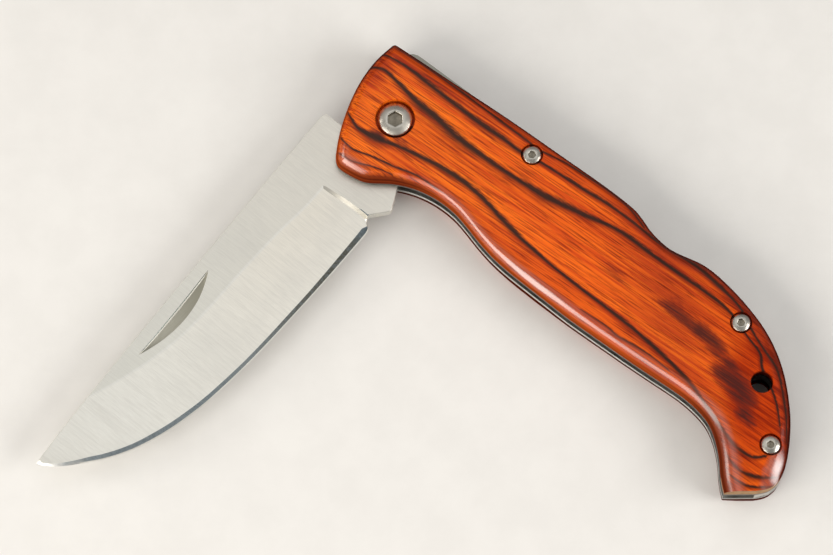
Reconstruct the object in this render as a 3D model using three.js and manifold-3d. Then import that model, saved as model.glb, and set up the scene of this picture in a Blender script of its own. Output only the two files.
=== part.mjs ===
// Folding pocket knife, half open: laminated wood scales, steel liners,
// drop-point blade and a spine lock bar. Millimetres, +Z up.
// The knife lies flat on its back scale. All plan outlines are written with the
// blade pivot at 0,0; the finished group is then shifted so that the origin is
// the middle of the footprint, on the surface the knife lies on.
import * as THREE from 'three';
import { mergeVertices } from 'three/addons/utils/BufferGeometryUtils.js';
import Module from 'manifold-3d';

const wasm = await Module();
wasm.setup();

// ---------------------------------------------------------------- dimensions
const SCALE_T = 4.0;          // wood scale thickness
const LINER_T = 1.0;          // steel liner thickness
const CHANNEL = 3.4;          // gap between the liners
const BLADE_T = 3.0;          // blade thickness at the spine
const BAR_T = 3.1;            // lock bar thickness
const SPRING_T = 2.6;         // lock spring width across the channel

const Z_BACK_LINER = SCALE_T;                       // 4.0
const Z_CHANNEL = Z_BACK_LINER + LINER_T;           // 5.0
const Z_FRONT_LINER = Z_CHANNEL + CHANNEL;          // 8.4
const Z_FRONT_SCALE = Z_FRONT_LINER + LINER_T;      // 9.4
const Z_TOP = Z_FRONT_SCALE + SCALE_T;              // 13.4
const Z_MID = (Z_CHANNEL + Z_FRONT_LINER) / 2;      // 6.7

const ROUND_IN = 1.8;         // how far the scale's edge rounding comes in
const ROUND_H = 3.6;          // height of that rounding

const BLADE_ANGLE = -128.33;  // direction of the blade's length from the pivot
const SPINE_ANGLE = -34.4;    // direction of the handle's straight spine
const BAR_LIFT = 3.0;         // lock bar raised by the tang while half open
const CLOSING_TURN = 88.5;    // from half open to folded

const PIVOT_BARREL_R = 2.5;
const PIVOT_BORE_R = 1.6;
const PIVOT_HEAD_R = 3.75;
const PIVOT_CBORE_R = 4.3;
const PIVOT_HEX = 3.0;        // across flats
const PIN_BARREL_R = 1.5;
const PIN_BORE_R = 0.95;
const PIN_HEAD_R = 2.05;
const PIN_CBORE_R = 2.4;
const PIN_HEX = 1.5;          // across flats
const RUN = 0.06;             // radial running clearance
const LANYARD_R = 2.4;

const PIVOT = [0, 0];
const LOCK_PIN = [29.42, -7.96];
const UPPER_REAR = [73.76, -45.0];
const LOWER_REAR = [79.55, -71.48];
const LANYARD = [77.96, -57.96];

const TANG_CAM_R = 8.75;      // round rear of the tang
const NOTCH_DEPTH_R = 6.35;   // lock notch floor, and the closed flat
const SHOULDER_A = 7.35;      // blade shoulder ahead of the pivot

// footprint centre seen from the pivot
const CENTRE = [3.9146, -32.19];

// ---------------------------------------------------------------- frames
const rad = (d) => (d * Math.PI) / 180;
const frame = (angle) => {
  const c = Math.cos(rad(angle)), s = Math.sin(rad(angle));
  return (u, v) => [u * c - v * s, u * s + v * c];
};
// blade frame: a towards the tip, b towards the cutting edge
const blade = frame(BLADE_ANGLE);
// handle frame: p from the front along the spine, q outwards from the spine
const handle = frame(SPINE_ANGLE);
const turn = ([x, y], [cx, cy], deg) => {
  const [dx, dy] = frame(deg)(x - cx, y - cy);
  return [cx + dx, cy + dy];
};

// ---------------------------------------------------------------- outlines
const curve = (points, n) =>
  new THREE.SplineCurve(points.map(([x, y]) => new THREE.Vector2(x, y)))
    .getSpacedPoints(n)
    .map((v) => [v.x, v.y]);

const SPINE_SIDE = [
  [0.55, 17.0], [5.41, 13.72], [10.6, 10.12], [15.8, 6.6], [20.95, 3.1],
  [26.1, -0.5], [31.3, -4.25], [36.4, -7.98], [41.55, -11.7], [46.7, -15.55],
  [50.2, -18.4], [52.0, -20.1], [53.5, -22.15], [55.0, -24.4], [56.9, -26.5],
  [59.0, -28.3], [61.3, -29.55], [63.7, -30.6], [66.0, -31.75], [68.4, -33.5],
  [71.0, -35.95], [73.6, -38.7], [76.1, -41.75], [78.5, -45.1], [80.6, -48.9],
  [82.2, -53.0], [83.3, -57.4], [83.95, -62.3], [84.12, -66.5], [83.75, -70.9],
  [82.95, -75.2], [82.0, -77.9], [80.7, -79.8], [78.8, -81.05], [76.4, -81.55],
];
const BUTT_CORNER = [69.72, -81.6];
const BELLY_SIDE = [
  [69.72, -81.6], [69.3, -79.6], [69, -77.2], [68.85, -74.6], [68.55, -72.3],
  [67.85, -69.3], [66.7, -66.5], [65.25, -64.44], [63.51, -62.59], [61.18, -60.55],
  [58.47, -58.58], [53.8, -55.38], [49.16, -52.15], [44.59, -48.87], [40.64, -46.03],
  [36.72, -43.13], [32.74, -39.93], [28.69, -36.67], [24.25, -33.03], [20.87, -29.88],
  [17.86, -26.41], [15.3, -23.08], [13.2, -20.59], [11.26, -18.81], [9.13, -17.25],
  [6.86, -15.94], [4.51, -14.91], [2.16, -14.17], [-0.4, -13.66], [-3.2, -13.5],
  [-5.3, -13.42], [-7, -13.1], [-8.6, -12.4], [-10.2, -11.5], [-11.5, -10.65],
  [-12.4, -9.75], [-12.8, -8.6], [-12.82, -7.3],
];
const FRONT_SIDE = [
  [-12.82, -7.3], [-12.62, -5.8], [-12.3, -3.8], [-11.75, -1.4], [-11.04, 0.94],
  [-10.12, 3.58], [-9.0, 6.25], [-7.7, 8.8], [-6.2, 11.2], [-4.6, 13.3],
  [-3.0, 15.0], [-1.2, 16.6],
];
const TOP_CORNER = [[-0.75, 16.95], [-0.25, 17.22], [0.15, 17.22]];

const spineSide = curve(SPINE_SIDE, 46);
const bellySide = curve(BELLY_SIDE, 40);
const frontSide = curve(FRONT_SIDE, 10);
const OUTLINE = [
  ...spineSide, ...bellySide, ...frontSide.slice(1), ...TOP_CORNER,
];
// the same outline for the rounded scales: run on past the flat butt, and with
// the tight front corner drawn sharp
const FRONT_CORNER = [-0.19, 17.5];
const clearOfCorner = ([x, y]) => Math.hypot(x - FRONT_CORNER[0], y - FRONT_CORNER[1]) > 2.4;
const LONG_OUTLINE = [
  ...spineSide.filter(([x, y]) => y > -78.2), [81.2, -81], [80.6, -87], [70.3, -87],
  ...bellySide.slice(1), ...frontSide.slice(1),
].filter(clearOfCorner).concat([FRONT_CORNER]);
// and with the rounding carried right round the butt
const clearOfButt = ([x, y]) => Math.hypot(x - BUTT_CORNER[0], y - BUTT_CORNER[1]) > 2.4;
const ROUND_OUTLINE = [
  ...spineSide, BUTT_CORNER, ...bellySide.slice(1).filter(clearOfButt), ...frontSide.slice(1),
].filter(clearOfCorner).concat([FRONT_CORNER]);

// ---------------------------------------------------------------- solids
const toSolid = (geometry) => {
  let g = geometry.index ? geometry.toNonIndexed() : geometry.clone();
  g.deleteAttribute('normal');
  g.deleteAttribute('uv');
  g = mergeVertices(g, 1e-5);
  return new wasm.Manifold(new wasm.Mesh({
    numProp: 3,
    vertProperties: new Float32Array(g.attributes.position.array),
    triVerts: new Uint32Array(g.index.array),
  }));
};
const toGeometry = (solid) => {
  const m = solid.getMesh();
  const g = new THREE.BufferGeometry();
  g.setAttribute('position', new THREE.BufferAttribute(new Float32Array(m.vertProperties), 3));
  g.setIndex(new THREE.BufferAttribute(new Uint32Array(m.triVerts), 1));
  return g;
};
const shapeOf = (points) => new THREE.Shape(points.map(([x, y]) => new THREE.Vector2(x, y)));
const plate = (points, z0, z1) => {
  const g = new THREE.ExtrudeGeometry(shapeOf(points), { depth: z1 - z0, bevelEnabled: false });
  g.translate(0, 0, z0);
  return toSolid(g);
};
const rod = ([x, y], r, z0, z1, sides = 24) => {
  const g = new THREE.CylinderGeometry(r, r, z1 - z0, sides);
  g.rotateX(Math.PI / 2);
  g.translate(x, y, (z0 + z1) / 2);
  return toSolid(g);
};
const hexRod = ([x, y], flats, z0, z1) => {
  const r = flats / Math.sqrt(3);
  const g = new THREE.CylinderGeometry(r, r, z1 - z0, 6);
  g.rotateX(Math.PI / 2);
  g.translate(x, y, (z0 + z1) / 2);
  return toSolid(g);
};
// a turned piece: profile is [radius, z] pairs
const turned = ([x, y], profile, sides = 24) => {
  const g = new THREE.LatheGeometry(profile.map(([r, z]) => new THREE.Vector2(r, z)), sides);
  g.rotateX(Math.PI / 2);
  g.translate(x, y, 0);
  return toSolid(g);
};
const flipZ = (z) => Z_TOP - z;

// ---------------------------------------------------------------- scales
// base on the liner at full outline, sides rounded over towards the outer face
const scaleOn = (longOutline) => {
  const wall = SCALE_T - ROUND_H;
  const g = new THREE.ExtrudeGeometry(shapeOf(longOutline), {
    depth: wall * 2, bevelEnabled: true, bevelThickness: ROUND_H,
    bevelSize: ROUND_IN, bevelOffset: -ROUND_IN, bevelSegments: 3,
  });
  g.translate(0, 0, Z_FRONT_SCALE - wall);
  let s = toSolid(g).intersect(plate(OUTLINE, Z_FRONT_SCALE, Z_TOP + 1));
  const cut = (c) => { s = s.subtract(c); };
  cut(rod(PIVOT, PIVOT_BARREL_R + 0.05, Z_FRONT_SCALE - 1, Z_TOP + 1));
  cut(rod(PIVOT, PIVOT_CBORE_R, Z_TOP - 2.2, Z_TOP + 1, 30));
  for (const c of [LOCK_PIN, UPPER_REAR, LOWER_REAR]) {
    cut(rod(c, PIN_BARREL_R + 0.05, Z_FRONT_SCALE - 1, Z_TOP + 1));
    cut(rod(c, PIN_CBORE_R, Z_TOP - 1.6, Z_TOP + 1));
  }
  cut(rod(LANYARD, LANYARD_R, Z_FRONT_SCALE - 1, Z_TOP + 1));
  return s;
};
const front_scale = scaleOn(LONG_OUTLINE);
// the back scale mirrors the front one in the knife's mid plane, but its edge is
// rounded over at the butt too, where the front one is cut off flat
const back_scale = scaleOn(ROUND_OUTLINE).scale([1, 1, -1]).translate([0, 0, Z_TOP]);

// ---------------------------------------------------------------- liners
const liner = (z) => {
  let s = plate(OUTLINE, z, z + LINER_T);
  s = s.subtract(rod(PIVOT, PIVOT_BARREL_R + 0.05, z - 1, z + LINER_T + 1));
  for (const c of [LOCK_PIN, UPPER_REAR, LOWER_REAR]) {
    s = s.subtract(rod(c, PIN_BARREL_R + 0.05, z - 1, z + LINER_T + 1));
  }
  return s.subtract(rod(LANYARD, LANYARD_R, z - 1, z + LINER_T + 1));
};
const back_liner = liner(Z_BACK_LINER);
const front_liner = liner(Z_FRONT_LINER);

// ---------------------------------------------------------------- blade
// spine, tip and cutting edge in the blade frame
const BLADE_SPINE = [
  [8.75, -13.75], [20, -13.9], [35, -14.05], [50, -14.15], [65, -14.18],
  [80, -14.15], [92, -14.1], [99, -13.98], [105.6, -13.75],
];
const BLADE_EDGE = [
  [105.6, -13.75], [105.3, -12.75], [104.7, -11.6], [103.8, -10.3], [102.4, -8.75],
  [100.8, -7.2], [98.7, -5.35], [96.3, -3.3], [93.5, -1.3], [90, 0.75], [86, 2.55],
  [82, 4.0], [78, 5.15], [73, 6.3], [68, 7.1], [63, 7.75], [58, 8.25], [53, 8.65],
  [48, 8.95], [43, 9.25], [38, 9.5], [33, 9.7], [28, 9.85], [24, 9.95], [22.4, 9.95],
];
const BLADE_HEEL = [[21.5, 9.55], [20.95, 8.8], [20.3, 8.25], [19.67, 8.08], [18.95, 8.35],
  [16.5, 10.6], [15.8, 11.0], [15.1, 11.03], [12.3, 9.85], [10.1, 8.72]];
// grind line on the flats, in the blade frame
const GRIND_LINE = [
  [19.6, -3.6], [21.4, -3.6], [27, -3.9], [35, -4.9], [45, -5.6], [57, -6.1],
  [66, -7.0], [74, -8.9], [81, -11.2], [88, -14.0], [97, -15.0], [106.2, -15.0],
];
// the tang behind the ricasso: kick, closed flat, round cam and lock notch
const tangOutline = () => {
  const pts = [];
  const flat = (a) => NOTCH_DEPTH_R + 0.068 * a;
  pts.push([8.3, 7.6], [7.2, flat(7.2)]);
  const start = Math.PI - Math.asin(5.9 / TANG_CAM_R);
  const endAngle = 2 * Math.PI - Math.acos(3.2 / TANG_CAM_R);
  const n = 26;
  for (let i = 0; i <= n; i++) {
    const t = start + ((endAngle - start) * i) / n;
    pts.push([TANG_CAM_R * Math.cos(t), TANG_CAM_R * Math.sin(t)]);
  }
  pts.push([3.3, -NOTCH_DEPTH_R], [SHOULDER_A, -NOTCH_DEPTH_R], [SHOULDER_A, -13.3]);
  return pts;
};
const bladeBlank = () => {
  const ab = [
    ...curve(BLADE_SPINE, 12), ...curve(BLADE_EDGE, 34).slice(1), ...BLADE_HEEL, ...tangOutline(),
  ];
  return plate(ab.map(([a, b]) => blade(a, b)), Z_MID - BLADE_T / 2, Z_MID + BLADE_T / 2);
};
// wedge between the grind line and the cutting edge, removed from each side
const grindCutter = (side) => {
  const N = 30;
  const gl = curve(GRIND_LINE, N);
  const edge = curve(BLADE_EDGE, 200);
  const edgeAt = (a) => {
    if (a < 22.4) return 9.95;
    let best = edge[0];
    for (const e of edge) if (Math.abs(e[0] - a) < Math.abs(best[0] - a)) best = e;
    return best[1];
  };
  const g = new THREE.BoxGeometry(1, 1, 1, N, 1, 1);
  const pos = g.attributes.position;
  for (let i = 0; i < pos.count; i++) {
    const k = Math.round((pos.getX(i) + 0.5) * N);
    const outer = pos.getY(i) > 0;
    const upper = pos.getZ(i) > 0;
    const a = gl[k][0];
    const bG = gl[k][1];
    const bE = Math.min(edgeAt(Math.min(a, 105.5)), 9.95);
    // the plunge at the ricasso ramps from nothing to full depth
    const ramp = THREE.MathUtils.clamp((a - 19.6) / 2.2, 0, 1);
    const zG = a > 88 ? 1.5 - (0.9 * (a - 88)) / 18 : 1.5;
    const zE = 1.5 - (1.5 - 0.2) * ramp;
    // the ruled surface is carried 1.5 mm past the cutting edge
    const grow = 1 + 1.5 / Math.max(bE - bG, 1);
    const b = outer ? bG + (bE - bG) * grow : bG;
    const zLow = outer ? zG + (zE - zG) * grow : zG;
    const z = upper ? 4 : zLow;
    const [x, y] = blade(a, b);
    pos.setXYZ(i, x, y, Z_MID + side * z);
  }
  if (side < 0) {
    // mirroring turns the faces over, so their winding is swapped back
    const idx = g.index.array;
    for (let i = 0; i < idx.length; i += 3) [idx[i + 1], idx[i + 2]] = [idx[i + 2], idx[i + 1]];
  }
  return toSolid(g);
};
const NICK = [
  [50.3, -11.45], [52.2, -10.55], [54.5, -9.5], [57, -8.85], [60, -8.5], [63.5, -8.6],
  [67, -9.1], [70.2, -9.9], [72.6, -10.75], [74.1, -11.35], [68, -11.25], [62, -11.2], [56, -11.25],
];
const makeBlade = () => {
  let s = bladeBlank();
  s = s.subtract(grindCutter(1)).subtract(grindCutter(-1));
  s = s.subtract(rod(PIVOT, PIVOT_BARREL_R + RUN, 0, Z_TOP, 32));
  s = s.subtract(plate(NICK.map(([a, b]) => blade(a, b)), Z_MID + BLADE_T / 2 - 0.5, Z_TOP));
  return s;
};
const bladeSolid = makeBlade();

// ---------------------------------------------------------------- lock bar
// drawn dropped into the notch, then lifted about its pin
const BAR_OUTLINE = [
  [-7.05, 6.45], [-7.05, 11.9], [-6.75, 12.8], [-6.1, 13.5], [-5.1, 13.88], [-4.0, 13.95],
  [10, 13.95], [26, 13.93], [36, 13.85], [44, 13.6], [48, 13.25], [52, 12.8], [56, 12.25],
  [60, 11.65], [64, 11.2], [68, 10.9], [70.6, 10.7], [71.7, 10.3], [72.1, 9.5], [71.8, 7.4],
  [71, 7.15], [66, 7.5], [58, 8.1], [50, 8.3], [42, 8.1], [36, 7.85], [31.5, 7.75], [28.77, 7.72],
  [26, 7.85], [22, 8.6], [18.5, 9.4], [12, 9.4], [8, 9.75], [-3.3, 9.75], [-3.3, 6.45],
];
const makeBar = () => {
  const pts = BAR_OUTLINE.map(([p, q]) => turn(handle(p, q), LOCK_PIN, -BAR_LIFT));
  return plate(pts, Z_MID - BAR_T / 2, Z_MID + BAR_T / 2)
    .subtract(rod(LOCK_PIN, PIN_BARREL_R + RUN, 0, Z_TOP));
};
const lock_bar = makeBar();

// ---------------------------------------------------------------- spacer and spring
// the cutting edge as it lies when folded, moved outwards by a clearance
const edgeClosed = (extra) => {
  const c = curve(BLADE_EDGE, 64);
  const out = [];
  for (let i = 0; i < c.length && c[i][0] > 72; i++) {
    const [a0, b0] = c[Math.max(i - 1, 0)];
    const [a1, b1] = c[i + 1];
    const l = Math.hypot(a1 - a0, b1 - b0);
    const a = c[i][0] + ((b1 - b0) / l) * extra;
    const b = c[i][1] - ((a1 - a0) / l) * extra;
    out.push(turn(blade(a, b), PIVOT, CLOSING_TURN));
  }
  return out;
};
const SPRING_LINE = [
  [86, 2.25], [82, 2.4], [78, 2.65], [74, 3.08], [70, 4.15], [67, 5.0], [65, 5.14], [63, 4.97],
];
const strip = (line, half) => {
  const c = curve(line, 16);
  const left = [], right = [];
  for (let i = 0; i < c.length; i++) {
    const [x0, y0] = c[Math.max(i - 1, 0)];
    const [x1, y1] = c[Math.min(i + 1, c.length - 1)];
    const l = Math.hypot(x1 - x0, y1 - y0);
    const nx = -(y1 - y0) / l, ny = (x1 - x0) / l;
    left.push([c[i][0] + nx * half, c[i][1] + ny * half]);
    right.push([c[i][0] - nx * half, c[i][1] - ny * half]);
  }
  return [...left, ...right.reverse()];
};
const lock_spring = plate(strip(SPRING_LINE, 0.35).map(([p, q]) => handle(p, q)),
  Z_MID - SPRING_T / 2, Z_MID + SPRING_T / 2);

const makeSpacer = () => {
  // the outline's spine side from behind the bar's tail to the slot at the butt,
  // then back along the folded edge
  const outer = spineSide.filter(([x, y]) => y < -32.6);
  const inner = edgeClosed(0.7).filter(([x, y]) => y > -75.5 && y < -41);
  const pts = [
    handle(73.0, 2.3), handle(73.0, 11.15), ...outer, [76.3, -81.57], [76.3, -77.6], ...inner,
  ];
  let s = plate(pts, Z_CHANNEL, Z_FRONT_LINER);
  for (const c of [UPPER_REAR, LOWER_REAR]) {
    s = s.subtract(rod(c, PIN_BARREL_R + 0.05, 0, Z_TOP));
  }
  s = s.subtract(rod(LANYARD, LANYARD_R, 0, Z_TOP));
  // seat of the leaf spring, open to the front
  const seat = strip([[88, 2.2], [86.5, 2.23], [82, 2.4], [78, 2.65], [74, 3.13], [71, 3.84]], 0.42);
  return s.subtract(plate(seat.map(([p, q]) => handle(p, q)), Z_CHANNEL - 1, Z_FRONT_LINER + 1));
};
const back_spacer = makeSpacer();

// ---------------------------------------------------------------- washers
const washer = (z0) => rod(PIVOT, 5.5, z0, z0 + 0.16, 32)
  .subtract(rod(PIVOT, PIVOT_BARREL_R + 0.1, z0 - 1, z0 + 1, 32));
const back_washer = washer(Z_CHANNEL + 0.02);
const front_washer = washer(Z_FRONT_LINER - 0.18);

// ---------------------------------------------------------------- fasteners
// threaded barrel through the liners, open from end to end
const barrel = (c, rOut, rIn, z0, sides = 24) => rod(c, rOut, z0, Z_TOP - z0, sides)
  .subtract(rod(c, rIn, z0 - 1, Z_TOP - z0 + 1, 16));
// domed button head with a hex socket, and its threaded shank
const screw = (c, rHead, rShank, zSeat, headH, shankL, hex, hexDepth, sides) => {
  const z = zSeat + 0.01;
  const s = turned(c, [
    [0, z - shankL], [rShank * 0.8, z - shankL], [rShank, z - shankL + 0.3], [rShank, z],
    [rHead, z], [rHead, z + headH * 0.3], [rHead * 0.92, z + headH * 0.62],
    [rHead * 0.72, z + headH * 0.9], [rHead * 0.5, z + headH], [0, z + headH],
  ], sides);
  return s.subtract(hexRod(c, hex, z + headH - hexDepth, z + headH + 1));
};
const mirrored = (solid) => solid.scale([1, 1, -1]).translate([0, 0, Z_TOP]);

const pivot_barrel = barrel(PIVOT, PIVOT_BARREL_R, PIVOT_BORE_R, 2.25, 32);
const front_pivot_screw = screw(PIVOT, PIVOT_HEAD_R, 1.5, Z_TOP - 2.2, 1.75, 4.0, PIVOT_HEX, 1.3, 24);
const back_pivot_screw = mirrored(front_pivot_screw);

const pinBarrel = (c) => barrel(c, PIN_BARREL_R, PIN_BORE_R, 1.65);
const pinScrew = (c) => screw(c, PIN_HEAD_R, 0.88, Z_TOP - 1.6, 1.2, 3.5, PIN_HEX, 0.8, 16);
const lock_bar_barrel = pinBarrel(LOCK_PIN);
const front_lock_bar_screw = pinScrew(LOCK_PIN);
const back_lock_bar_screw = mirrored(front_lock_bar_screw);
const upper_rear_barrel = pinBarrel(UPPER_REAR);
const front_upper_rear_screw = pinScrew(UPPER_REAR);
const back_upper_rear_screw = mirrored(front_upper_rear_screw);
const lower_rear_barrel = pinBarrel(LOWER_REAR);
const front_lower_rear_screw = pinScrew(LOWER_REAR);
const back_lower_rear_screw = mirrored(front_lower_rear_screw);

// ---------------------------------------------------------------- materials
const material = (color, roughness, metalness) =>
  new THREE.MeshStandardMaterial({ color, roughness, metalness });
const WOOD = () => material(0xc8481f, 0.3, 0);
const BLADE_STEEL = () => material(0xd2cbbb, 0.32, 1);
const LINER_STEEL = () => material(0xb5b0a6, 0.38, 1);
const BAR_STEEL = () => material(0xa9a398, 0.42, 1);
const SPRING_STEEL = () => material(0x8f8c86, 0.4, 1);
const SCREW_STEEL = () => material(0xb9b6ae, 0.28, 1);
const BRONZE = () => material(0xb88a4a, 0.4, 1);

const group = new THREE.Group();
const add = (name, solid, mat) => {
  const mesh = new THREE.Mesh(toGeometry(solid), mat);
  mesh.name = name;
  mesh.position.set(-CENTRE[0], -CENTRE[1], 0);
  group.add(mesh);
};

add('back_scale', back_scale, WOOD());
add('back_liner', back_liner, LINER_STEEL());
add('back_washer', back_washer, BRONZE());
add('blade', bladeSolid, BLADE_STEEL());
add('front_washer', front_washer, BRONZE());
add('lock_bar', lock_bar, BAR_STEEL());
add('lock_spring', lock_spring, SPRING_STEEL());
add('back_spacer', back_spacer, LINER_STEEL());
add('front_liner', front_liner, LINER_STEEL());
add('front_scale', front_scale, WOOD());
add('pivot_barrel', pivot_barrel, SCREW_STEEL());
add('front_pivot_screw', front_pivot_screw, SCREW_STEEL());
add('back_pivot_screw', back_pivot_screw, SCREW_STEEL());
add('lock_bar_barrel', lock_bar_barrel, SCREW_STEEL());
add('front_lock_bar_screw', front_lock_bar_screw, SCREW_STEEL());
add('back_lock_bar_screw', back_lock_bar_screw, SCREW_STEEL());
add('upper_rear_barrel', upper_rear_barrel, SCREW_STEEL());
add('front_upper_rear_screw', front_upper_rear_screw, SCREW_STEEL());
add('back_upper_rear_screw', back_upper_rear_screw, SCREW_STEEL());
add('lower_rear_barrel', lower_rear_barrel, SCREW_STEEL());
add('front_lower_rear_screw', front_lower_rear_screw, SCREW_STEEL());
add('back_lower_rear_screw', back_lower_rear_screw, SCREW_STEEL());

export default group;
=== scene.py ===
# Looks for the folding pocket knife. Shapes are worked out in millimetres with
# the blade pivot at 0,0 and the table at z 0, and scaled to metres at the end.
import math
import bpy
import bmesh
import numpy as np
from mathutils import Matrix, Vector
from mathutils.geometry import delaunay_2d_cdt


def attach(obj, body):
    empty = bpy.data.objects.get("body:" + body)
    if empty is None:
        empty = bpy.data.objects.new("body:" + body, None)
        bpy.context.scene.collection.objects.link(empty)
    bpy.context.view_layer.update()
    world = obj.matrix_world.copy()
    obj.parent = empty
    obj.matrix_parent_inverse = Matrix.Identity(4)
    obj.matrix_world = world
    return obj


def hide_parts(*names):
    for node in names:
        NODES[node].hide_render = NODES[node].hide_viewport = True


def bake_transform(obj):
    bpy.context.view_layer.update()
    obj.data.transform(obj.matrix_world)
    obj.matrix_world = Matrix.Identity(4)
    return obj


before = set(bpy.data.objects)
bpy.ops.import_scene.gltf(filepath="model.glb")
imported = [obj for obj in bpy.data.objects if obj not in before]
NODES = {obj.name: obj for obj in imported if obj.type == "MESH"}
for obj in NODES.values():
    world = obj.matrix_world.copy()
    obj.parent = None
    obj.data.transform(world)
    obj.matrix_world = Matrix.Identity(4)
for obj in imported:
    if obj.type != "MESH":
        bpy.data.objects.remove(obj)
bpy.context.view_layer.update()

# ------------------------------------------------------------------ dimensions
CENTRE = np.array([3.9146, -32.19])      # footprint centre seen from the pivot
SCALE_T, LINER_T, CHANNEL = 4.0, 1.0, 3.4
Z_CH0, Z_CH1 = SCALE_T + LINER_T, SCALE_T + LINER_T + CHANNEL
Z_FL, Z_FS = Z_CH1, Z_CH1 + LINER_T
Z_TOP = Z_FS + SCALE_T
Z_MID = 0.5 * (Z_CH0 + Z_CH1)
ROUND_IN, ROUND_H = 2.6, 3.6
CROWN = 0.22
BLADE_ANGLE, SPINE_ANGLE, BAR_LIFT = -128.33, -34.4, 3.0
PIVOT, LOCK_PIN = (0.0, 0.0), (29.42, -7.96)
UPPER_REAR, LOWER_REAR, LANYARD = (73.76, -45.0), (79.55, -71.48), (77.96, -57.96)
LANYARD_R = 2.4
CLOSING_TURN = 88.5


def turned(angle):
    c, s = math.cos(math.radians(angle)), math.sin(math.radians(angle))
    return lambda p: np.stack([p[..., 0] * c - p[..., 1] * s, p[..., 0] * s + p[..., 1] * c], -1)


blade_xy = turned(BLADE_ANGLE)           # (a towards the tip, b towards the edge) to x, y
handle_xy = turned(SPINE_ANGLE)          # (p along the spine, q outwards) to x, y

# ------------------------------------------------------------------ outlines
SPINE_SIDE = [
    (0.55, 17.0), (5.41, 13.72), (10.6, 10.12), (15.8, 6.6), (20.95, 3.1), (26.1, -0.5),
    (31.3, -4.25), (36.4, -7.98), (41.55, -11.7), (46.7, -15.55), (50.2, -18.4), (52.0, -20.1),
    (53.5, -22.15), (55.0, -24.4), (56.9, -26.5), (59.0, -28.3), (61.3, -29.55), (63.7, -30.6),
    (66.0, -31.75), (68.4, -33.5), (71.0, -35.95), (73.6, -38.7), (76.1, -41.75), (78.5, -45.1),
    (80.6, -48.9), (82.2, -53.0), (83.3, -57.4), (83.95, -62.3), (84.12, -66.5), (83.75, -70.9),
    (82.95, -75.2), (82.0, -77.9), (80.7, -79.8), (78.8, -81.05), (76.4, -81.55)]
BELLY_SIDE = [
    (69.72, -81.6), (69.3, -79.6), (69, -77.2), (68.85, -74.6), (68.55, -72.3), (67.85, -69.3),
    (66.7, -66.5), (65.25, -64.44), (63.51, -62.59), (61.18, -60.55), (58.47, -58.58), (53.8, -55.38),
    (49.16, -52.15), (44.59, -48.87), (40.64, -46.03), (36.72, -43.13), (32.74, -39.93), (28.69, -36.67),
    (24.25, -33.03), (20.87, -29.88), (17.86, -26.41), (15.3, -23.08), (13.2, -20.59), (11.26, -18.81),
    (9.13, -17.25), (6.86, -15.94), (4.51, -14.91), (2.16, -14.17), (-0.4, -13.66), (-3.2, -13.5),
    (-5.3, -13.42), (-7, -13.1), (-8.6, -12.4), (-10.2, -11.5), (-11.5, -10.65), (-12.4, -9.75),
    (-12.8, -8.6), (-12.82, -7.3)]
FRONT_SIDE = [
    (-12.82, -7.3), (-12.62, -5.8), (-12.3, -3.8), (-11.75, -1.4), (-11.04, 0.94), (-10.12, 3.58),
    (-9.0, 6.25), (-7.7, 8.8), (-6.2, 11.2), (-4.6, 13.3), (-3.0, 15.0), (-1.2, 16.6)]
CORNER, CORNER_R = np.array([-0.19, 17.5]), 1.0

BLADE_SPINE = [
    (8.75, -13.75), (20, -13.9), (35, -14.05), (50, -14.15), (65, -14.18), (80, -14.15), (92, -14.1),
    (99, -13.98), (105.6, -13.75)]
BLADE_EDGE = [
    (105.6, -13.75), (105.3, -12.75), (104.7, -11.6), (103.8, -10.3), (102.4, -8.75), (100.8, -7.2),
    (98.7, -5.35), (96.3, -3.3), (93.5, -1.3), (90, 0.75), (86, 2.55), (82, 4.0), (78, 5.15),
    (73, 6.3), (68, 7.1), (63, 7.75), (58, 8.25), (53, 8.65), (48, 8.95), (43, 9.25), (38, 9.5),
    (33, 9.7), (28, 9.85), (24, 9.95), (22.4, 9.95)]
BLADE_HEEL = [
    (21.5, 9.55), (20.95, 8.8), (20.3, 8.25), (19.67, 8.08), (18.95, 8.35), (16.5, 10.6), (15.8, 11.0),
    (15.1, 11.03), (12.3, 9.85), (10.1, 8.72)]
GRIND_LINE = [
    (21.4, -3.6), (27, -3.9), (35, -4.9), (45, -5.6), (57, -6.1), (66, -7.0), (74, -8.9),
    (81, -11.2), (88, -14.0)]
BAR_OUTLINE = [
    (-7.05, 6.45), (-7.05, 11.9), (-6.75, 12.8), (-6.1, 13.5), (-5.1, 13.88), (-4.0, 13.95),
    (10, 13.95), (26, 13.93), (36, 13.85), (44, 13.6), (48, 13.25), (52, 12.8), (56, 12.25),
    (60, 11.65), (64, 11.2), (68, 10.9), (70.6, 10.7), (71.7, 10.3), (72.1, 9.5), (71.8, 7.4),
    (71, 7.15), (66, 7.5), (58, 8.1), (50, 8.3), (42, 8.1), (36, 7.85), (31.5, 7.75), (28.77, 7.72),
    (26, 7.85), (22, 8.6), (18.5, 9.4), (12, 9.4), (8, 9.75), (-3.3, 9.75), (-3.3, 6.45)]


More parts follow.
